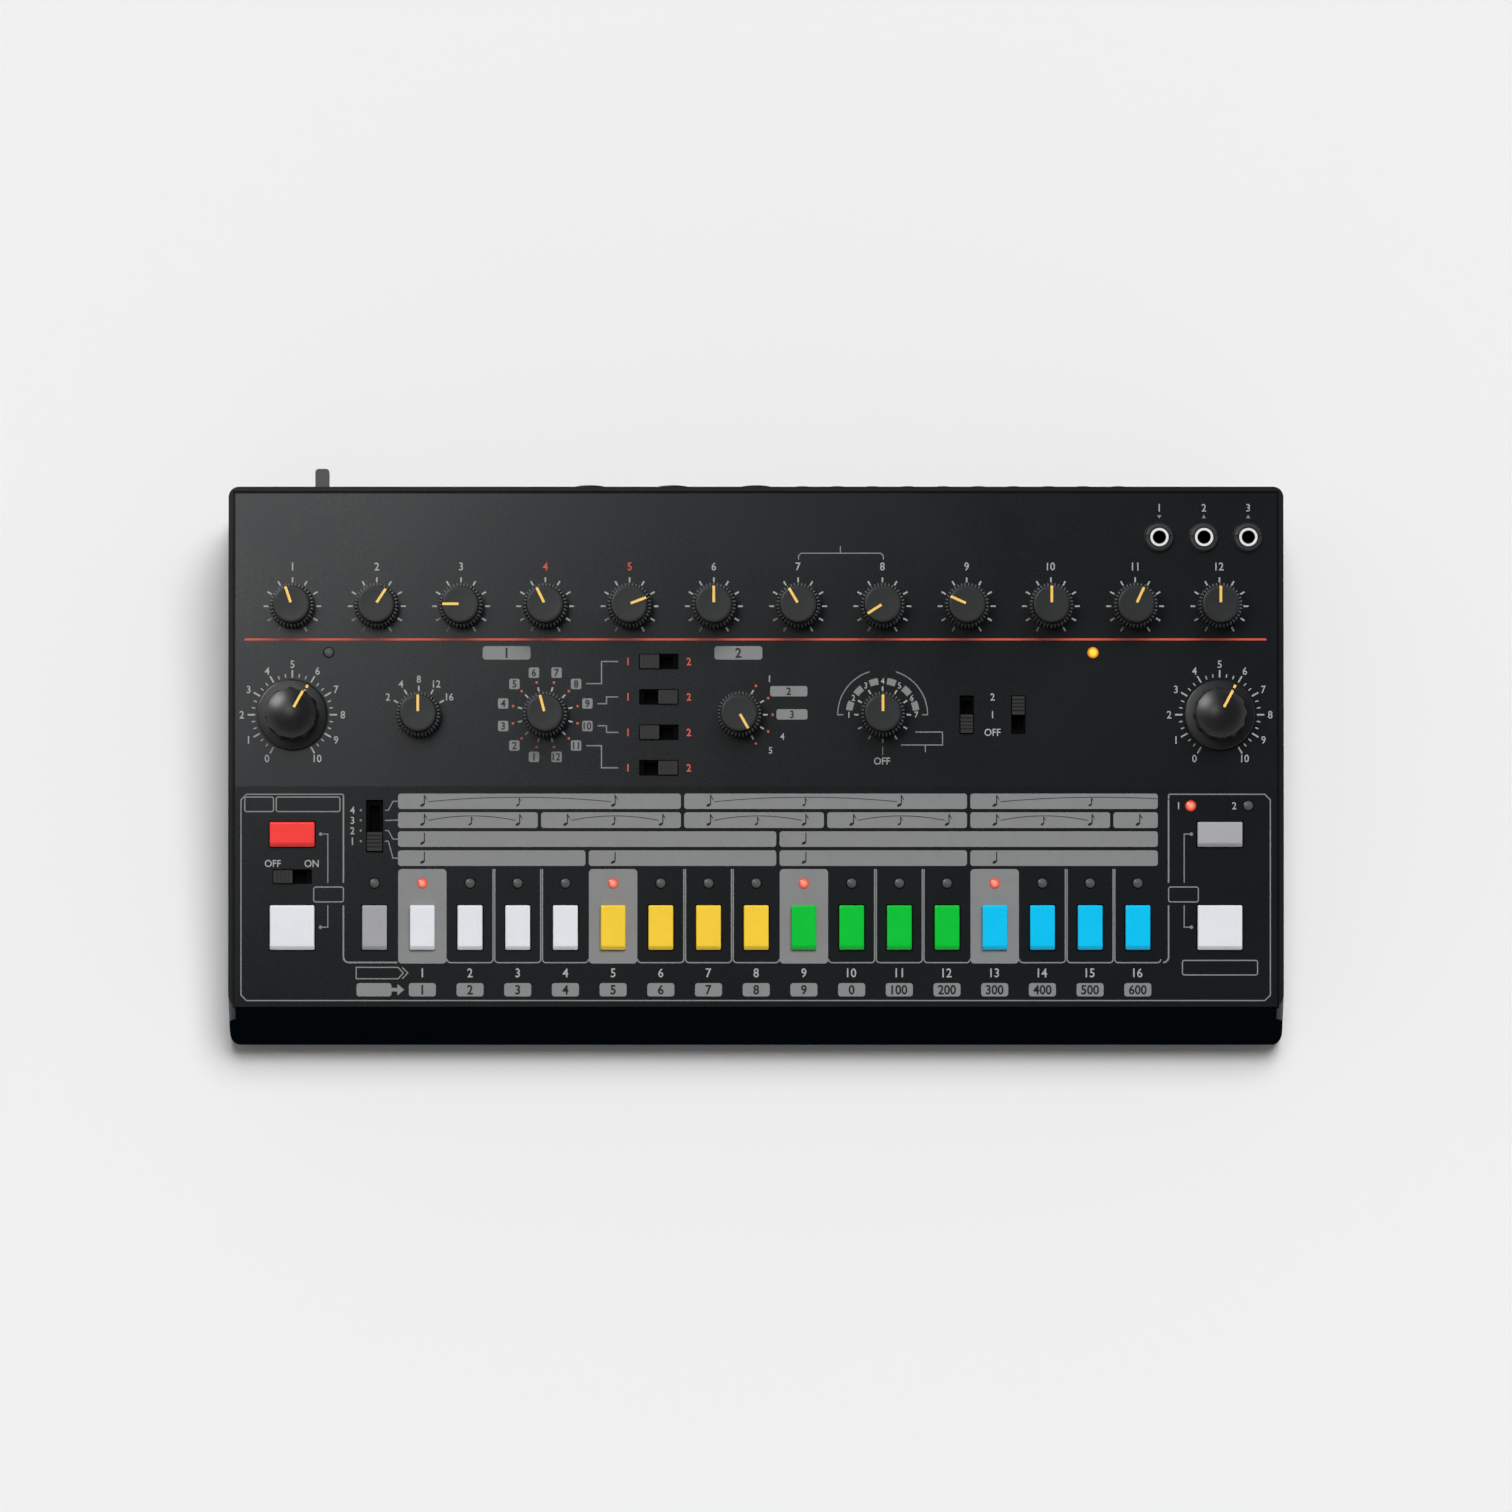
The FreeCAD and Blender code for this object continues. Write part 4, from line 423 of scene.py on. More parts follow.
def tie(first, last, row):
    """A slur from one step's note to another's."""
    x0 = FIRST_STEP_X + STEP_PITCH * (first - 1) + 1.7
    x1 = FIRST_STEP_X + STEP_PITCH * (last - 1) - 0.6
    points = []
    for k in range(25):
        share = k / 24
        points.append((x0 + (x1 - x0) * share, FOLD + row[0] + 2.35 - 5.2 * share * (1 - share)))
    stroke(print_dark, points, 0.2)


for row, spans in zip(BAR_ROWS, BAR_SPANS):
    edge = ROW_START
    for span in spans:
        box(print_grey, edge - 0.15, edge + span * STEP_PITCH - 1.1, FOLD + row[0],
            FOLD + row[1], 0.8)
        edge += span * STEP_PITCH
for first, middle, last in ((1, 3, 5), (7, 9, 11), (13, 15, 17.3)):
    note(first, BAR_ROWS[0], 1.0, True)
    note(middle, BAR_ROWS[0], 0.72, True)
    if last < 17:
        note(last, BAR_ROWS[0], 1.0, True)
    tie(first, last, BAR_ROWS[0])
for first in (1, 4, 7, 10, 13):
    note(first, BAR_ROWS[1], 1.0, True)
    note(first + 1, BAR_ROWS[1], 0.72, True)
    note(first + 2, BAR_ROWS[1], 1.0, True)
    tie(first, first + 2, BAR_ROWS[1])
note(16, BAR_ROWS[1], 1.0, True)
for step in (1, 9):
    note(step, BAR_ROWS[2], 1.0, False)
for step in (1, 5, 9, 13):
    note(step, BAR_ROWS[3], 1.0, False)
for number, detent, row in zip("4321", SCALE_DETENTS, BAR_ROWS):
    middle = (row[0] + row[1]) / 2
    figures(print_light, number, -116.6, FOLD + detent, 2.1)
    dot(print_grey, -114.2, FOLD + detent, 0.32, 10)
    stroke(print_grey, lower((-107.2, detent), (-106.2, detent), (-104.9, middle),
                             (-103.0, middle)), HAIR_LINE)

# Cells of the step keys, every fourth one solid, with their numbers under them
CELL_TOP, CELL_FOOT = 23.9, 50.95
for step in range(16):
    x = FIRST_STEP_X + STEP_PITCH * step
    left, right = x - STEP_PITCH / 2, x + STEP_PITCH / 2
    if step % 4 == 0:
        box(print_grey, left - 0.1, right + 0.1, FOLD + CELL_TOP, FOLD + CELL_FOOT + 0.25, 1.1)
    else:
        side_foot = FOLD + CELL_FOOT - 1.0
        path = [ring_point(left + 1.25, side_foot, 1.0, 270 - 15 * j) for j in range(7)]
        path += [ring_point(right - 1.25, side_foot, 1.0, 180 - 15 * j) for j in range(7)]
        if step % 4 != 1:
            path.insert(0, (left + 0.25, FOLD + CELL_TOP))
        if step % 4 != 3:
            path.append((right - 0.25, FOLD + CELL_TOP))
        stroke(print_grey, path, 0.36)
    figures(print_light, str(step + 1), x, FOLD + 53.9, 2.6)
    box(print_grey, x - 3.9, x + 3.9, FOLD + 56.85, FOLD + 60.7, 0.8)
    label = str(step + 1) if step < 9 else ("0", "100", "200", "300", "400", "500", "600")[step - 9]
    figures(print_dark, label, x, FOLD + 58.78, 2.8, BOLD)
stroke(print_grey, lower((-115.5, 52.3), (-103.4, 52.3), (-101.9, 53.95), (-103.4, 55.6),
                         (-115.5, 55.6)), 0.32, closed=True)
stroke(print_grey, lower((-102.2, 52.3), (-100.6, 53.95), (-102.2, 55.6)), 0.32)
box(print_grey, -115.4, -105.3, FOLD + 56.85, FOLD + 60.7, 0.8)
ink(print_grey, lower((-105.4, 58.25), (-103.6, 58.25), (-103.6, 57.1), (-101.6, 58.78),
                      (-103.6, 60.45), (-103.6, 59.3), (-105.4, 59.3)))


def print_ink(name, shapes, top, material):
    """Lays all shapes of one colour on the panel as a closed film."""
    film = bmesh.new()
    for number, (points, faces) in enumerate(shapes):
        lift = top + 0.0005 * (number % 12)
        upper = []
        lower = []
        for x, distance in points:
            ground = stand(x, distance)
            upper.append(film.verts.new(ground @ Vector((0, 0, lift))))
            lower.append(film.verts.new(ground @ Vector((0, 0, INK_LOW))))
        edges = {}
        for face in faces:
            film.faces.new([upper[i] for i in face])
            film.faces.new([lower[i] for i in reversed(face)])
            for a, b in zip(face, face[1:] + face[:1]):
                edges[(a, b)] = True
        for a, b in edges:
            if (b, a) not in edges:
                film.faces.new([upper[b], upper[a], lower[a], lower[b]])
    settle(film, name, material, "case", crease=30.0)


for name, shapes, top, kind, colour, tone in (
        ("grey", print_grey, INK_TOP, "grey_screen_ink", INK_GREY, 0.05),
        ("light", print_light, INK_TOP, "light_screen_ink", INK_LIGHT, 0.05),
        ("red", print_red, INK_TOP, "red_screen_ink", INK_RED, 0.06)):
    print_ink("panel_print_" + name, shapes, top,
              grain(finish(kind, colour, 0.5, 0.3), 0.0004, 0.000002, tone, 0.004))
dark_ink = grain(finish("bare_coating_in_print", INK_DARK, 0.45, 0.3), 0.0008, 0.000002, 0.08,
                 0.01)
print_ink("panel_print_dark", print_dark, INK_ON_INK, dark_ink)


# The small knobs are moulded in grey-black plastic: a barrel with 36 grip ribs under a plain
# cap, and a yellow line let into the top. Each is pushed onto the D-shaped shaft of its pot. The
# ribs are coloured far lighter than the cap: a painted highlight for the light their tips catch.
KNOB_GREY = (0.0225, 0.0238, 0.0243)
RIB_HIGHLIGHT_GREY = (0.085, 0.088, 0.090)
POINTER_YELLOW = (0.95, 0.60, 0.13)
KNOB_LIFT = 0.8
RIB_COUNT = 36
RIB_TIP = 6.45
RIB_ROOT = 5.75
BARREL_TOP = 9.0
GROOVE_LOW = 6.6             # floor of the groove between the ribs and the cap
GROOVE_RADIUS = 5.0
CAP_RADIUS = 5.25
CAP_TOP = 13.8
CAP_EDGE = 0.45
POINTER_WIDTH = 0.75
LEVEL_ANGLES = (-18.6, 33.5, -90.0, -26.3, 69.2, 0.0, -30.4, -122.7, -65.4, 0.0, 25.1, 0.0)
SMALL_KNOBS = [(f"level_knob_{i + 1:02d}", LEVEL_PITCH * (i - 5.5), LEVEL_ROW, LEVEL_ANGLES[i])
               for i in range(12)]
SMALL_KNOBS += [("measure_knob", MEASURE_X, CONTROL_ROW, 0.0),
                ("instrument_knob", INSTRUMENT_X, CONTROL_ROW, -15.0),
                ("pattern_knob", PATTERN_X, CONTROL_ROW, 150.0),
                ("fill_knob", FILL_X, CONTROL_ROW, 0.0)]


def skin(shape, pairs):
    """Joins pairs of rows of vertices with faces all the way round."""
    for low, high in pairs:
        for k in range(len(low)):
            j = (k + 1) % len(low)
            shape.faces.new([low[k], low[j], high[j], high[k]])


def loft(shape, loops):
    """Skins a stack of loops that all have the same number of points, and closes both ends."""
    rows = [[shape.verts.new(point) for point in loop] for loop in loops]
    skin(shape, zip(rows, rows[1:]))
    shape.faces.new(rows[0][::-1])
    shape.faces.new(rows[-1])


def lathe(shape, outline, steps=48):
    """Turns an outline of (radius, height) round Z. The first and last points are closed with a
    face of triangles round a pole."""
    turns = [2 * math.pi * k / steps for k in range(steps)]
    rows = [[shape.verts.new((radius * math.cos(a), radius * math.sin(a), height))
             for a in turns] for radius, height in outline]
    skin(shape, zip(rows, rows[1:]))
    for row, height in ((rows[0], outline[0][1]), (rows[-1], outline[-1][1])):
        pole = shape.verts.new((0.0, 0.0, height))
        for k in range(steps):
            shape.faces.new([row[k], row[(k + 1) % steps], pole])


def quarter(radius, top, edge, steps=5):
    """Outline points round the upper edge of a turned part."""
    return [(radius - edge + edge * math.cos(math.pi / 2 * k / steps),
             top - edge + edge * math.sin(math.pi / 2 * k / steps)) for k in range(steps + 1)]


def geometry_tree(name, inputs, kinds, wires):
    """A tree of geometry nodes. Returns it, the ids of its inputs and its nodes, all by name."""
    tree = bpy.data.node_groups.new(name, "GeometryNodeTree")
    ids = {label: tree.interface.new_socket(label, in_out="INPUT",
                                            socket_type="NodeSocket" + kind).identifier
           for label, kind in inputs}
    tree.interface.new_socket("Result", in_out="OUTPUT", socket_type="NodeSocketGeometry")
    made = {"in": tree.nodes.new("NodeGroupInput"), "out": tree.nodes.new("NodeGroupOutput")}
    for label, kind in kinds:
        made[label] = tree.nodes.new(kind)
    for start, output, end, socket in wires:
        tree.links.new(made[start].outputs[output], made[end].inputs[socket])
    return tree, ids, made


ring_tree, ring_ids, ring_nodes = geometry_tree(
    "copies_round_the_axis", (("Part", "Geometry"), ("Count", "Int"), ("Finish", "Material")),
    (("points", "GeometryNodePoints"), ("index", "GeometryNodeInputIndex"),
     ("step", "ShaderNodeMath"), ("angle", "ShaderNodeMath"), ("turn", "ShaderNodeCombineXYZ"),
     ("copies", "GeometryNodeInstanceOnPoints"), ("real", "GeometryNodeRealizeInstances"),
     ("dressed", "GeometryNodeSetMaterial")),
    (("in", "Count", "points", "Count"), ("in", "Count", "step", 1), ("step", 0, "angle", 0),
     ("index", 0, "angle", 1), ("angle", 0, "turn", "Z"), ("points", 0, "copies", "Points"),
     ("in", "Part", "copies", "Instance"), ("turn", 0, "copies", "Rotation"),
     ("copies", 0, "real", 0), ("real", 0, "dressed", "Geometry"),
     ("in", "Finish", "dressed", "Material"), ("dressed", 0, "out", "Result")))
ring_nodes["step"].operation = "DIVIDE"
ring_nodes["step"].inputs[0].default_value = 2 * math.pi
ring_nodes["angle"].operation = "MULTIPLY"


def grown(shape, tree, values):
    """Runs a node tree over a bmesh and gives back the mesh that it makes."""
    start = bpy.data.meshes.new("start")
    shape.to_mesh(start)
    shape.free()
    carrier = show("start", start)
    step = carrier.modifiers.new("grow", "NODES")
    step.node_group = tree
    for socket, value in values:
        step[socket] = value
    made = bpy.data.meshes.new_from_object(
        carrier.evaluated_get(bpy.context.evaluated_depsgraph_get()))
    carrier.modifiers.remove(step)
    bpy.data.objects.remove(carrier)
    bpy.data.meshes.remove(start)
    return made


knob_plastic = grain(finish("knob_cap_plastic", KNOB_GREY, 0.42, 0.24), 0.00025, 0.000004, 0.10,
                     0.006)
# The ribs' light grey is a painted highlight on the same plastic as the cap.
rib_painted_highlight = grain(finish("knob_rib_painted_highlight", RIB_HIGHLIGHT_GREY, 0.35, 0.35), 0.0003, 0.000003, 0.10, 0.006)
pointer_plastic = grain(finish("yellow_pointer", POINTER_YELLOW, 0.35, 0.4), 0.0003, 0.000002,
                        0.06, 0.004)

rib = bmesh.new()
rib_step = 2 * math.pi / RIB_COUNT
rib_loops = []
for height, tip in ((KNOB_LIFT, RIB_TIP), (BARREL_TOP - 0.9, RIB_TIP),
                    (BARREL_TOP - 0.3, RIB_TIP - 0.12), (BARREL_TOP, RIB_TIP - 0.4)):
    loop = []
    for share, radius in ((-0.28, RIB_ROOT - 0.2), (-0.22, tip - 0.16), (-0.11, tip),
                          (0.11, tip), (0.22, tip - 0.16), (0.28, RIB_ROOT - 0.2)):
        loop.append((radius * math.cos(share * rib_step), radius * math.sin(share * rib_step),
                     height))
    rib_loops.append(loop)
loft(rib, rib_loops)
rib_ring = grown(rib, ring_tree, ((ring_ids["Count"], RIB_COUNT),
                                  (ring_ids["Finish"], rib_painted_highlight)))


def strip(shape, path, width, depth):
    """A band of a width along a path of (distance, height) points, with its lower side sunk."""
    loops = []
    for distance, height in path:
        loops.append([(side * width / 2, distance, height - down)
                      for side, down in ((-1, 0), (1, 0), (1, depth), (-1, depth))])
    loft(shape, loops)


for name, x, distance, degrees in SMALL_KNOBS:
    place = stand(x, distance, -math.radians(degrees))
    ribs = bmesh.new()
    ribs.from_mesh(rib_ring)
    settle(ribs, name + "_ribs", rib_painted_highlight, name, (name,), place=place)
    body = bmesh.new()
    lathe(body, [(RIB_ROOT - 0.1, KNOB_LIFT), (RIB_ROOT - 0.1, GROOVE_LOW),
                 (GROOVE_RADIUS, GROOVE_LOW), (GROOVE_RADIUS, BARREL_TOP + 0.55),
                 (CAP_RADIUS - 0.15, BARREL_TOP + 0.6), (CAP_RADIUS, BARREL_TOP + 0.85)]
          + quarter(CAP_RADIUS, CAP_TOP, CAP_EDGE)
          + [(CAP_RADIUS - 1.0, CAP_TOP - 0.03), (1.5, CAP_TOP - 0.06)], 72)
    settle(body, name + "_body", knob_plastic, name, (name,), place=place)
    line = bmesh.new()
    edge = [(p[0], p[1] + 0.02) for p in reversed(quarter(CAP_RADIUS + 0.02, CAP_TOP, CAP_EDGE))]
    strip(line, [(0.45, CAP_TOP - 0.02), (2.5, CAP_TOP), (CAP_RADIUS - 1.0, CAP_TOP + 0.01)]
          + edge[:-1], POINTER_WIDTH, 0.3)
    settle(line, name + "_line", pointer_plastic, name, (name,), place=place)


# The tempo and volume knobs are the same plastic in a glossier mould: a fluted dome on a wide
# flat skirt, with the yellow line over the dome and on over the skirt.
DOME_GREY = (0.0048, 0.0054, 0.0060)
SKIRT_RADIUS = 10.15
SKIRT_TOP = 3.0
DOME_RADIUS = 7.65
DOME_SHOULDER = 11.5
DOME_TOP = 15.0
FLUTES = 12
FLUTE_RADIUS = 2.6
FLUTE_DEPTH = 0.55
DOME_STEPS = 288
DOME_EDGE = 6.95
dome_plastic = grain(finish("knob_dome_plastic", DOME_GREY, 0.42, 0.5), 0.0003, 0.000003, 0.10,
                     0.008, 0.05)


def dome_height(radius):
    rise = DOME_TOP - DOME_SHOULDER
    ball = (DOME_RADIUS ** 2 + rise ** 2) / (2 * rise)
    return DOME_TOP - ball + math.sqrt(ball ** 2 - radius ** 2)


def flute_cut(angle):
    """How deep the flutes cut into the wall in one direction. The pointer is on a crest."""
    pitch = 2 * math.pi / FLUTES
    off = (angle - math.pi / 2) % pitch - pitch / 2
    centre = DOME_RADIUS + FLUTE_RADIUS - FLUTE_DEPTH
    inside = FLUTE_RADIUS ** 2 - (centre * math.sin(off)) ** 2
    if inside <= 0:
        return 0.0
    return max(0.0, DOME_RADIUS - centre * math.cos(off) + math.sqrt(inside))


for name, x in (("tempo_knob", -MASTER_X), ("volume_knob", MASTER_X)):
    place = stand(x, CONTROL_ROW, -math.radians(28.0))
    body = bmesh.new()
    lathe(body, [(SKIRT_RADIUS, KNOB_LIFT), (SKIRT_RADIUS, SKIRT_TOP - 1.1)]
          + quarter(SKIRT_RADIUS, SKIRT_TOP - 0.35, 0.55)
          + [(DOME_RADIUS + 0.6, SKIRT_TOP - 0.05), (DOME_RADIUS - 1.0, SKIRT_TOP)], 96)
    angles = [2 * math.pi * k / DOME_STEPS for k in range(DOME_STEPS)]
    loops = []
    for height, radius, wave in ((SKIRT_TOP - 0.1, 7.85, 1.0), (6.0, 7.75, 1.0), (10.4, 7.55, 1.0),
                                 (11.4, 7.42, 0.8), (11.9, 7.25, 0.35), (12.12, 7.12, 0.1),
                                 (dome_height(DOME_EDGE), DOME_EDGE, 0.0)):
        loops.append([((radius - wave * flute_cut(a)) * math.cos(a),
                       (radius - wave * flute_cut(a)) * math.sin(a), height) for a in angles])
    for share in (0.96, 0.88, 0.78, 0.66, 0.52, 0.36, 0.2, 0.08):
        radius = DOME_EDGE * share
        loops.append([(radius * math.cos(a), radius * math.sin(a), dome_height(radius))
                      for a in angles])
    loft(body, loops)
    settle(body, name + "_body", dome_plastic, name, (name,), 40.0, place)
    line = bmesh.new()
    strip(line, [(1.8 + 0.5 * k, dome_height(1.8 + 0.5 * k) + 0.03) for k in range(11)]
          + [(7.14, 12.14), (7.3, 11.92)], POINTER_WIDTH, 0.3)
    strip(line, [(DOME_RADIUS + 0.1, SKIRT_TOP), (SKIRT_RADIUS - 0.6, SKIRT_TOP - 0.28),
                 (SKIRT_RADIUS - 0.05, SKIRT_TOP - 0.75)], POINTER_WIDTH, 0.3)
    settle(line, name + "_line", pointer_plastic, name, (name,), place=place)


# The step keys are hard caps in four colours with a sloped front edge, each over its own tact
# switch. They were moulded glossy, and their tops are dished by a few hundredths.
KEY_ROW = 40.8
KEY_WIDTH = 7.2
KEY_LENGTH = 12.9
KEY_TOP = 2.0
KEY_COLOURS = {
    "white": ((0.79, 0.80, 0.835), "white_key"),
    "yellow": ((0.96, 0.64, 0.045), "yellow_key"),
    "green": ((0.0015, 0.555, 0.040), "green_key"),
    "blue": ((0.0015, 0.57, 0.93), "blue_key"),
    "grey": ((0.375, 0.375, 0.385), "grey_key"),
    "light_grey": ((0.415, 0.415, 0.43), "grey_key"),
    "red": ((0.96, 0.050, 0.045), "red_key"),
}
key_finishes = {
    name: grain(finish(name + "_key_plastic", colour, 0.28, 0.22), 0.0004, 0.0000015, 0.03, 0.01,
                0.05)
    for name, (colour, _) in KEY_COLOURS.items()
}
# The flange under each cap is coloured black: painted shade standing in for the dark gap round the
# key.
key_foot_painted_shade = grain(finish("black_key_foot_painted_shade", (0.003, 0.003, 0.003), 0.5, 0.2), 0.0004,
                         0.000004, 0.15, 0.006)


def rounded_loop(width, length, corner, height, side_in=0.0, front_in=0.0):
    """A rectangle with rounded corners round Z. Its front edge can be drawn in by itself."""
    half_x, back, front = width / 2 - side_in, length / 2 - side_in, -length / 2 + front_in
    points = []
    for x, y, start in ((half_x - corner, back - corner, 0),
                        (-half_x + corner, back - corner, 90),
                        (-half_x + corner, front + corner, 180),
                        (half_x - corner, front + corner, 270)):
        for k in range(5):
            angle = math.radians(start + 22.5 * k)
            points.append((x + corner * math.cos(angle), y + corner * math.sin(angle), height))
    return points


def key_cap(name, x, distance, width, length, colour):
    """A key: its coloured cap, and under it the black foot with the stem for its switch. The
    foot is coloured black as painted shade for the dark gap round the cap.
    """
    place = stand(x, FOLD + distance)
    cap = bmesh.new()
    profile = ((-1.25, 0.0, 0.0), (0.85, 0.0, 0.0), (1.02, 0.0, 0.04), (1.14, 0.01, 0.16),
               (1.66, 0.04, 0.74), (1.82, 0.10, 0.90), (1.93, 0.20, 1.04), (1.985, 0.33, 1.22),
               (KEY_TOP, 0.50, 1.45), (KEY_TOP - 0.02, 1.3, 2.3))
    loft(cap, [rounded_loop(width, length, 0.42, z, side, front) for z, side, front in profile])
    foot = bmesh.new()
    loft(foot, [rounded_loop(width + 2.2, length + 2.2, 0.5, z) for z in (-2.3, -1.28)])
    loft(foot, [rounded_loop(3.0, 3.0, 0.3, z) for z in (-3.5, -2.2)])
    lathe(foot, [(1.7, -6.3), (1.7, -3.4)], 24)
    for shape, part, material in ((foot, "_foot", key_foot_painted_shade),
                                  (cap, "_cap", key_finishes[colour])):
        settle(shape, name + part, material, name, (name,), 50.0, place)


for i in range(16):
    key_cap(f"step_key_{i + 1:02d}", FIRST_STEP_X + STEP_PITCH * i, KEY_ROW, KEY_WIDTH,
            KEY_LENGTH, ("white", "yellow", "green", "blue")[i // 4])
key_cap("cancel_key", -110.2, KEY_ROW, KEY_WIDTH, KEY_LENGTH, "grey")


# The square start and write buttons and the two flat ones above them are the same kind of cap in
# other sizes.
SQUARE_CAP = (12.9, 12.9)
FLAT_CAP = (13.0, 7.2)
FLAT_ROW = 13.9
key_cap("start_button", -MASTER_X, KEY_ROW, *SQUARE_CAP, "white")
key_cap("write_button", MASTER_X, KEY_ROW, *SQUARE_CAP, "white")
key_cap("clear_button", -MASTER_X, FLAT_ROW, *FLAT_CAP, "red")
key_cap("group_button", MASTER_X, FLAT_ROW, *FLAT_CAP, "light_grey")


# The slides are short black caps with grip ribs, on the shanks of slide switches whose lids show
# through the slots in the panel.
SLIDE_BLACK = (0.027, 0.0275, 0.0275)
SWITCH_BLACK = (0.0015, 0.0015, 0.0017)
slide_plastic = grain(finish("black_slide_plastic", SLIDE_BLACK, 0.42, 0.22), 0.0003, 0.000006,
                      0.15, 0.004)
switch_plastic = grain(finish("black_switch_body", SWITCH_BLACK, 0.6, 0.05), 0.0004, 0.000008,
                       0.15, 0.006)
for name in ("voice_slider_1", "voice_slider_2", "voice_slider_3", "voice_slider_4",
             "fade_in_slider", "fade_out_slider", "auto_slider", "scale_slider"):
    dress(name, slide_plastic)
dress("slide_switch_bodies", switch_plastic)
dress("key_switches", switch_plastic)


# The power slide is a dark grey tab that sticks out of the rear wall.
LEVER_GREY = (0.058, 0.058, 0.061)
dress("power_slider", grain(finish("grey_lever_plastic", LEVER_GREY, 0.45, 0.3), 0.0003, 0.000006,
                            0.10, 0.004))


# The lamps are clear domes 3 mm across. Every fourth step and bank one are lit red, the lamp on
# the right is amber, and the others are dark. A lit middle fades towards the rim. A dark dome
# turns black at its rim: painted shade for the gap round it in the panel.
LAMP_RADIUS = 1.5
LAMP_TOP = 1.0
STEP_LAMP_ROW = 28.0
LAMP_DARK = (0.088, 0.092, 0.092)
GAP_SHADE_BLACK = (0.003, 0.003, 0.003)
LAMP_PLACES = {
    "unlit": [(-123.5, 48.0), (142.2, FOLD + 5.6), (-110.2, FOLD + STEP_LAMP_ROW)],
    "red": [(125.6, FOLD + 5.6)],
    "amber": [(97.4, 48.0)],
}
for i in range(16):
    LAMP_PLACES["unlit" if i % 4 else "red"].append((FIRST_STEP_X + STEP_PITCH * i,
                                                     FOLD + STEP_LAMP_ROW))


def from_middle(material, socket, inner_at, inner_colour, outer_at, outer_colour):
    """Colours a lamp from its middle to its rim, by the map that each dome carries."""
    mapped = add(material, "UVMap")
    mapped.uv_map = "across"
    parts = add(material, "SeparateXYZ", Vector=mapped.outputs["UV"])
    ramp = add(material, "ValToRGB", Fac=parts.outputs["X"])
    inner, outer = ramp.color_ramp.elements
    inner.position, outer.position = inner_at, outer_at
    inner.color, outer.color = (*inner_colour, 1.0), (*outer_colour, 1.0)
    shader = material.node_tree.nodes["Principled BSDF"]
    material.node_tree.links.new(ramp.outputs["Color"], shader.inputs[socket])
    return material


def glowing(name, colour, middle, rim, strength, core):
    """A lit dome: its light is strongest at the middle."""
    material = grain(finish(name, colour, 0.25, 0.4), 0.0004, 0.000001, 0.04, 0.002, 0.04)
    material.node_tree.nodes["Principled BSDF"].inputs["Emission Strength"].default_value = strength
    return from_middle(material, "Emission Color", core, middle, 0.95, rim)


# Unlit domes go from grey in the middle to black at the rim, a painted shade of the gap round them.
unlit_lamp_rim_shade = grain(finish("unlit_lamp_rim_shade", LAMP_DARK, 0.35, 0.25), 0.0005, 0.000001, 0.15, 0.002)
lamp_finishes = {
    "unlit": from_middle(unlit_lamp_rim_shade, "Base Color", 0.82, LAMP_DARK, 0.97, GAP_SHADE_BLACK),
    "red": glowing("lit_red_lamp", (0.30, 0.02, 0.01), (0.95, 0.42, 0.30), (0.55, 0.030, 0.015),
                   0.85, 0.15),
    "amber": glowing("lit_amber_lamp", (0.10, 0.04, 0.01), (0.93, 0.76, 0.05), (0.72, 0.20, 0.01),
                     1.0, 0.50),
}
for kind, places in LAMP_PLACES.items():
    domes = bmesh.new()
    across = domes.loops.layers.uv.new("across")
    for x, distance in places:
        before = len(domes.faces)
        outline = [(LAMP_RADIUS + 0.4, -5.6), (LAMP_RADIUS + 0.4, -4.6), (LAMP_RADIUS, -4.55),
                   (LAMP_RADIUS, 0.05)]
        outline += [(LAMP_RADIUS * math.cos(math.radians(a)),
                     0.05 + (LAMP_TOP - 0.05) * math.sin(math.radians(a)))
                    for a in (15, 30, 45, 60, 75)]
        lathe(domes, outline, 24)
        pole = domes.verts[:][-1]
        pole.co.z = LAMP_TOP
        domes.faces.ensure_lookup_table()
        new_faces = domes.faces[before:]
        verts = {v for f in new_faces for v in f.verts}
        for face in new_faces:
            for corner in face.loops:
                spot = corner.vert.co
                corner[across].uv = (math.hypot(spot.x, spot.y) / LAMP_RADIUS, 0.0)
        bmesh.ops.transform(domes, matrix=stand(x, distance), verts=list(verts))
    settle(domes, "lamps_" + kind, lamp_finishes[kind], "case", ("lamps",), 60.0)


# The jacks on top are held by round slotted nuts over black washers. The nuts are matt grey, and
# the threaded bush that comes up through each has a bright rim.
TOP_JACK_ROW = 14.7
TOP_JACK_XS = (116.6, 129.5, 142.3)
NUT_RADIUS = 4.0
NUT_TOP = 1.9
WASHER_RADIUS = 4.45
WASHER_TOP = 0.4
BUSH_RADIUS = 2.9
RIM_RADIUS = 2.7
MINI_BORE = 1.8
NICKEL = (0.66, 0.655, 0.64)
NUT_GREY = (0.036, 0.0365, 0.0375)
RIM_SILVER = (0.86, 0.86, 0.85)
nickel = grain(finish("nickel_plating", NICKEL, 0.24, 0.5, 1.0), 0.0006, 0.000002, 0.06, 0.004,
               0.06)
nut_metal = grain(finish("grey_nut_metal", NUT_GREY, 0.45, 0.3, 0.2), 0.0005, 0.000003, 0.10,
                  0.004)
rim_metal = grain(finish("bright_rim_plating", RIM_SILVER, 0.35, 0.5, 0.15), 0.0006, 0.000002,
                  0.04, 0.004, 0.06)
washer_metal = grain(finish("black_washer", (0.006, 0.006, 0.006), 0.5, 0.3), 0.0004, 0.000004,
                     0.15, 0.004)


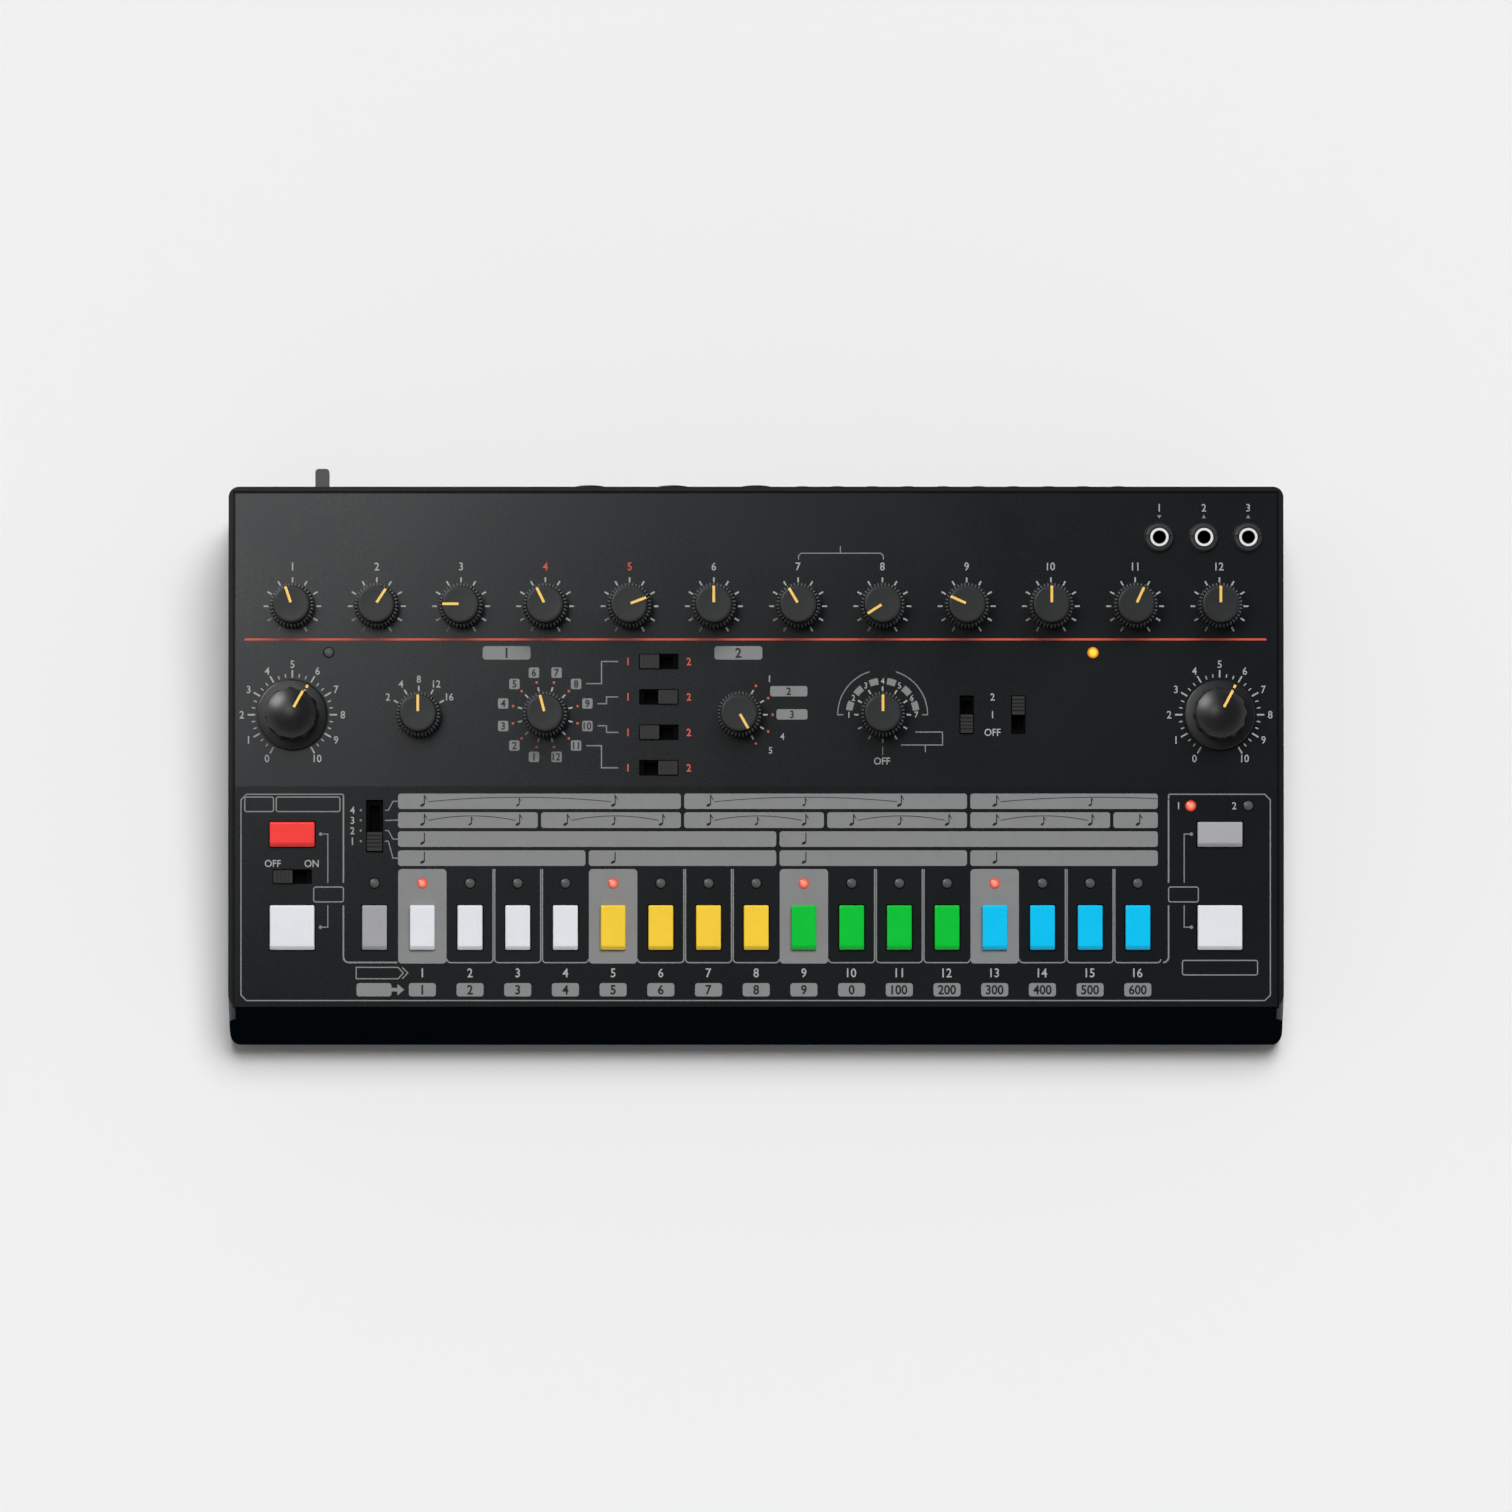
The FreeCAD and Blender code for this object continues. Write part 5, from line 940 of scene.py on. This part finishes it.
def tube(shape, outline, steps=48, place=None):
    """Turns a closed outline of (radius, height) that doesn't touch the axis."""
    first = len(shape.verts)
    turns = [2 * math.pi * k / steps for k in range(steps)]
    rows = [[shape.verts.new((r * math.cos(a), r * math.sin(a), z)) for r, z in outline]
            for a in turns]
    for k in range(steps):
        here, after = rows[k], rows[(k + 1) % steps]
        for j in range(len(outline)):
            i = (j + 1) % len(outline)
            shape.faces.new([here[j], after[j], after[i], here[i]])
    if place is not None:
        shape.verts.ensure_lookup_table()
        bmesh.ops.transform(shape, matrix=place, verts=shape.verts[first:])


def join(shape, piece):
    """Adds one bmesh to another, and drops it."""
    held = bpy.data.meshes.new("held")
    piece.to_mesh(held)
    piece.free()
    shape.from_mesh(held)
    bpy.data.meshes.remove(held)


def slotted(height, slot_depth):
    """A round nut with a slot across its top for a key."""
    nut = bmesh.new()
    outer, inner = NUT_RADIUS, BUSH_RADIUS + 0.02
    tube(nut, [(inner, WASHER_TOP), (outer - 0.15, WASHER_TOP), (outer, WASHER_TOP + 0.15),
               (outer, height - slot_depth), (inner, height - slot_depth)], 64)
    for sector in range(2):
        start, end = math.pi * sector + 0.16, math.pi * (sector + 1) - 0.16
        loops = []
        for k in range(29):
            angle = start + (end - start) * k / 28
            loops.append([(r * math.cos(angle), r * math.sin(angle), z) for r, z in (
                (inner, height - slot_depth - 0.05), (outer, height - slot_depth - 0.05),
                (outer, height - 0.3), (outer - 0.1, height - 0.1), (outer - 0.3, height),
                (inner + 0.1, height), (inner, height - 0.1))])
        loft(nut, loops)
    return nut


nuts, washers, rims = bmesh.new(), bmesh.new(), bmesh.new()
for x in TOP_JACK_XS:
    place = stand(x, TOP_JACK_ROW)
    nut = slotted(NUT_TOP, 0.6)
    bmesh.ops.transform(nut, matrix=place, verts=nut.verts[:])
    join(nuts, nut)
    tube(washers, [(BUSH_RADIUS + 0.02, 0.0), (WASHER_RADIUS, 0.0), (WASHER_RADIUS, 0.3),
                   (WASHER_RADIUS - 0.1, WASHER_TOP), (BUSH_RADIUS + 0.02, WASHER_TOP)], 64, place)
    tube(rims, [(MINI_BORE + 0.02, -1.5), (RIM_RADIUS, -1.5), (RIM_RADIUS, 1.85),
                (RIM_RADIUS - 0.1, 1.96), (MINI_BORE + 0.2, 1.96), (MINI_BORE + 0.02, 1.8)],
         64, place)
settle(nuts, "jack_nuts", nut_metal, "case", ("fasteners",))
settle(washers, "jack_washers", washer_metal, "case", ("fasteners",))
settle(rims, "top_jack_rims", rim_metal, "case")


# Screws hold the case to the panel's posts, the nose to its lugs and the boards to their studs.
# They are zinc-plated, with a pan head and a cross for the driver.
SCREW_HEAD = 2.75
SCREW_HEAD_HEIGHT = 1.9
SHEET = 1.2
POST_LENGTH = 12.0
SEAT_DEPTH = 4.0
screw_steel = grain(finish("zinc_screw_steel", (0.34, 0.345, 0.35), 0.34, 0.5, 0.9), 0.0004,
                    0.000004, 0.12, 0.003)
POSTS = ((-146.1, 24.2), (-146.1, 74.0), (-146.1, 141.63), (146.1, 24.2), (146.1, 74.0),
         (146.1, 141.63), (0.0, 48.0))
UPPER_RUN = FOLD * math.cos(UPPER_TILT)


def post_seat(behind):
    """Height of the shelf that a case screw's head rests on, in millimetres."""
    if behind <= UPPER_RUN:
        top = REAR_EDGE_Z - behind * math.tan(UPPER_TILT) - SHEET / math.cos(UPPER_TILT)
    else:
        top = (REAR_EDGE_Z - FOLD * math.sin(UPPER_TILT)
               - (behind - UPPER_RUN) * math.tan(LOWER_TILT) - SHEET / math.cos(LOWER_TILT))
    return top - POST_LENGTH - SEAT_DEPTH


CASE_SCREWS = [(x, REAR_EDGE_Y - behind, post_seat(behind)) for x, behind in POSTS]
CASE_SCREWS += [(x, -77.413, 4.5) for x in (-118.0, -40.0, 40.0, 118.0)]
UPPER_BOARD_SCREWS = [(-121.8, LEVEL_ROW), (-24.36, LEVEL_ROW), (24.36, LEVEL_ROW),
                      (121.8, LEVEL_ROW), (-115.5, 78.0), (105.0, 78.0)]
REAR_BOARD_SCREWS = [Vector((x, 0.0438, 0.0175)) for x in (-0.143, -0.060, 0.020, 0.107)]
LOWER_BOARD_SCREWS = lower((-121.5, 9.5), (0.0, 9.5), (119.0, 12.5), (-121.5, 51.4),
                           (0.0, 51.4), (121.5, 51.4))

copy_tree, copy_ids, _ = geometry_tree(
    "copies_at_places", (("Places", "Geometry"), ("Part", "Object"), ("Tilt", "Float"),
                         ("Finish", "Material")),
    (("object", "GeometryNodeObjectInfo"), ("turn", "ShaderNodeCombineXYZ"),
     ("copies", "GeometryNodeInstanceOnPoints"), ("real", "GeometryNodeRealizeInstances"),
     ("dressed", "GeometryNodeSetMaterial")),
    (("in", "Part", "object", "Object"), ("in", "Tilt", "turn", "X"),
     ("in", "Places", "copies", "Points"), ("object", "Geometry", "copies", "Instance"),
     ("turn", 0, "copies", "Rotation"), ("copies", 0, "real", 0),
     ("real", 0, "dressed", "Geometry"), ("in", "Finish", "dressed", "Material"),
     ("dressed", 0, "out", "Result")))


def part_object(name, shape):
    """A part that is only there to be copied. It is built in millimetres."""
    bmesh.ops.recalc_face_normals(shape, faces=shape.faces[:])
    bmesh.ops.scale(shape, vec=(0.001, 0.001, 0.001), verts=shape.verts[:])
    mesh = bpy.data.meshes.new(name)
    shape.to_mesh(mesh)
    shape.free()
    return show(name, mesh)


def copies(shape, part, places, tilt, material):
    """Adds a copy of a part at each place in metres to a bmesh."""
    spots = bmesh.new()
    for place in places:
        spots.verts.new(place)
    made = grown(spots, copy_tree, ((copy_ids["Part"], part), (copy_ids["Tilt"], tilt),
                                    (copy_ids["Finish"], material)))
    shape.from_mesh(made)
    bpy.data.meshes.remove(made)


def cross_screw(length):
    """A pan-head screw with its head below z = 0 and a cross cut into it."""
    head = bmesh.new()
    arm, half, depth = 1.35, 0.28, 0.9
    plus = [(arm, -half), (arm, half), (half, half), (half, arm), (-half, arm), (-half, half),
            (-arm, half), (-arm, -half), (-half, -half), (-half, -arm), (half, -arm),
            (half, -half)]
    ring = [math.atan2(py, px) for px, py in plus]
    low = -SCREW_HEAD_HEIGHT
    loops = []
    for radius, z in ((SCREW_HEAD, 0.0), (SCREW_HEAD, low * 0.4), (SCREW_HEAD * 0.93, low * 0.75),
                      (SCREW_HEAD * 0.74, low * 0.97)):
        loops.append([(radius * math.cos(a), radius * math.sin(a), z) for a in ring])
    loops.append([(px, py, low) for px, py in plus])
    loops.append([(px * 0.9, py * 0.9, low + depth) for px, py in plus])
    loft(head, loops)
    lathe(head, [(1.5, -0.1), (1.5, length - 0.4), (1.1, length)], 16)
    return head


screws = bmesh.new()
long_screw = part_object("long_screw", cross_screw(8.5))
short_screw = part_object("short_screw", cross_screw(5.6))
copies(screws, long_screw, [Vector(p) * 0.001 for p in CASE_SCREWS], 0.0, screw_steel)
for tilt, chosen in ((UPPER_TILT, UPPER_BOARD_SCREWS), (LOWER_TILT, LOWER_BOARD_SCREWS)):
    copies(screws, short_screw, [stand(x, d) @ Vector((0, 0, -9.9)) for x, d in chosen], tilt,
           screw_steel)
copies(screws, short_screw, REAR_BOARD_SCREWS, math.pi, screw_steel)
for part in (long_screw, short_screw):
    bpy.data.objects.remove(part)
settle(screws, "screws", screw_steel, "case", ("fasteners",))


# The sockets along the rear wall: ten small jacks and three large ones in black plastic with
# bright contact sleeves, two round five-pole sockets, a square data socket and a barrel inlet.
SOCKET_Z = 24.0
FIRST_MINI_X, MINI_PITCH, MINI_OUT = 13.45, 10.2, 3.5
FIRST_BIG_X, BIG_PITCH, BIG_OUT = -48.2, 24.1, 3.4
ROUND_SOCKET_XS, ROUND_SOCKET_Z = (-91.0, -70.0), 26.5
DATA_SOCKET_X = -109.0
INLET_X, INLET_OUT = -139.4, 3.0
socket_plastic = grain(finish("black_socket_plastic", (0.0045, 0.0045, 0.005), 0.42, 0.2), 0.0004,
                       0.000006, 0.15, 0.005)
dress("jack_sockets", socket_plastic)
dress("data_sockets", socket_plastic)


def rearward(x, y, z):
    """The place of a part built in millimetres round Z, laid so that it points out of the rear."""
    return (Matrix.Scale(0.001, 4) @ Matrix.Translation((x, y, z))
            @ Matrix.Rotation(-math.pi / 2, 4, "X"))


sleeve = bmesh.new()
tube(sleeve, [(MINI_BORE + 0.02, -3.0), (MINI_BORE + 0.35, -3.0), (MINI_BORE + 0.35, 0.03),
              (MINI_BORE + 0.15, 0.06), (MINI_BORE + 0.02, -0.1)], 32)
sleeve_part = part_object("sleeve", sleeve)
sleeves = bmesh.new()
copies(sleeves, sleeve_part,
       [Vector((FIRST_MINI_X + MINI_PITCH * i, REAR_EDGE_Y + MINI_OUT, SOCKET_Z)) * 0.001
        for i in range(10)], -math.pi / 2, nickel)
bpy.data.objects.remove(sleeve_part)
for i in range(3):
    tube(sleeves, [(3.22, -4.0), (3.7, -4.0), (3.7, 0.03), (3.5, 0.06), (3.22, -0.15)], 48,
         rearward(FIRST_BIG_X + BIG_PITCH * i, REAR_EDGE_Y + BIG_OUT, SOCKET_Z))
for x in ROUND_SOCKET_XS:
    tube(sleeves, [(6.25, -7.5), (6.55, -7.5), (6.55, -0.1), (6.25, -0.1)], 64,
         rearward(x, REAR_EDGE_Y, ROUND_SOCKET_Z))
place = rearward(DATA_SOCKET_X, REAR_EDGE_Y, SOCKET_Z)
first = len(sleeves.verts)
shell_loops = [rounded_loop(12.1, 11.1, 1.0, z) for z in (-6.0, -0.25)]
shell_loops += [rounded_loop(8.6, 7.9, 1.4, z) for z in (-0.25, -8.5)]
rows = [[sleeves.verts.new((px, py - 1.0, pz)) for px, py, pz in loop] for loop in shell_loops]
skin(sleeves, zip(rows, rows[1:] + rows[:1]))
sleeves.verts.ensure_lookup_table()
bmesh.ops.transform(sleeves, matrix=place, verts=sleeves.verts[first:])
pin = bmesh.new()
lathe(pin, [(1.02, -9.0), (1.02, -1.2), (0.8, -0.95), (0.3, -0.9)], 24)
bmesh.ops.transform(pin, matrix=rearward(INLET_X, REAR_EDGE_Y + INLET_OUT, SOCKET_Z),
                    verts=pin.verts[:])
join(sleeves, pin)
settle(sleeves, "socket_sleeves", nickel, "case")


# Inside are the circuit boards, green with tinned tracks, and the pots in plated steel cans.
# They show only through the gaps, but carry every control.
BOARD_GREEN = (0.022, 0.125, 0.055)
board_finish = grain(finish("green_board", BOARD_GREEN, 0.38), 0.0006, 0.00001, 0.2, 0.01)
board_shader = board_finish.node_tree.nodes["Principled BSDF"]
board_place = add(board_finish, "TexCoord").outputs["Object"]
tracks = add(board_finish, "TexBrick", Vector=board_place, Scale=160.0, Mortar_Size=0.05)
tracks.inputs["Color1"].default_value = (*BOARD_GREEN, 1.0)
tracks.inputs["Color2"].default_value = (0.018, 0.105, 0.045, 1.0)
tracks.inputs["Mortar"].default_value = (0.060, 0.22, 0.10, 1.0)
board_finish.node_tree.links.new(tracks.outputs["Color"], board_shader.inputs["Base Color"])
dress("circuit_boards", board_finish)
dress("pot_bodies", grain(finish("plated_pot_steel", (0.42, 0.42, 0.43), 0.32, 0.5, 0.9), 0.0008,
                          0.000004, 0.10, 0.006))


# Four rubber feet are pressed into round seats in the floor.
dress("rubber_feet", grain(finish("foot_rubber", (0.012, 0.012, 0.012), 0.75, 0.3), 0.0004,
                           0.00002, 0.2, 0.004))


# The machine stands on a plain pale floor that runs on to the horizon.
FLOOR_GREY = 0.887
floor_shape = bmesh.new()
bmesh.ops.create_grid(floor_shape, x_segments=1, y_segments=1, size=30.0)
floor_mesh = bpy.data.meshes.new("floor")
floor_shape.to_mesh(floor_mesh)
floor_shape.free()
floor_mesh.materials.append(finish("pale_floor", (FLOOR_GREY,) * 3, 0.9, 0.1))
floor = show("floor", floor_mesh)


# The studio is pale at the horizon and dim above. One soft sun from the rear lights the floor and
# the machine, and two square lights show only as reflections in the panel and the knobs.
world = bpy.data.worlds.new("studio")
bpy.context.scene.world = world
world.use_nodes = True
backdrop = world.node_tree.nodes["Background"]
direction = world.node_tree.nodes.new("ShaderNodeTexCoord")
up = world.node_tree.nodes.new("ShaderNodeSeparateXYZ")
world.node_tree.links.new(direction.outputs["Generated"], up.inputs[0])
shade = world.node_tree.nodes.new("ShaderNodeValToRGB")
world.node_tree.links.new(up.outputs["Z"], shade.inputs["Fac"])
pale, dim = shade.color_ramp.elements
pale.position, dim.position = 0.12, 0.42
pale.color = (*(FLOOR_GREY,) * 3, 1.0)
dim.color = (0.14, 0.14, 0.144, 1.0)
world.node_tree.links.new(shade.outputs["Color"], backdrop.inputs["Color"])

sun_light = bpy.data.lights.new("key", "SUN")
sun_light.energy = 2.72
sun_light.angle = math.radians(34.0)
sun = show("key", sun_light)
sun.rotation_mode = "QUATERNION"
sun.rotation_quaternion = Vector((0.12, 0.38, 0.92)).to_track_quat("Z", "Y")
sun.visible_glossy = False


def reflected_light(name, size, energy, place, target):
    """A square light that shows only in reflections."""
    light = bpy.data.lights.new(name, "AREA")
    light.shape = "SQUARE"
    light.size = size
    light.energy = energy
    made = show(name, light)
    made.location = place
    made.visible_diffuse = False
    made.rotation_mode = "QUATERNION"
    made.rotation_quaternion = (made.location - Vector(target)).to_track_quat("Z", "Y")


reflected_light("softbox", 0.30, 2.3, (-0.25, 0.12, 1.0), (-0.1, 0.03, 0.0))
reflected_light("window", 0.90, 32.0, (-1.1, 0.9, 0.75), (0.0, 0.0, 0.0))


# The camera stands far off, 81 degrees up, as the photograph was taken.
CAMERA_DISTANCE = 4.6
VIEW_WIDTH = 0.4369
CAMERA_RISE = math.radians(81.0)
camera_lens = bpy.data.cameras.new("camera")
camera_lens.sensor_width = 36.0
camera_lens.lens = 36.0 * CAMERA_DISTANCE / VIEW_WIDTH
camera_lens.clip_end = 100.0
camera = show("camera", camera_lens)
aim = Vector((0.0, -0.0034, 0.0368))
back = Vector((0.0, -math.cos(CAMERA_RISE), math.sin(CAMERA_RISE)))
camera.rotation_mode = "QUATERNION"
camera.location = aim + back * CAMERA_DISTANCE
camera.rotation_quaternion = (-back).to_track_quat("-Z", "Y")
bpy.context.scene.camera = camera
bpy.context.scene.view_settings.view_transform = "Standard"
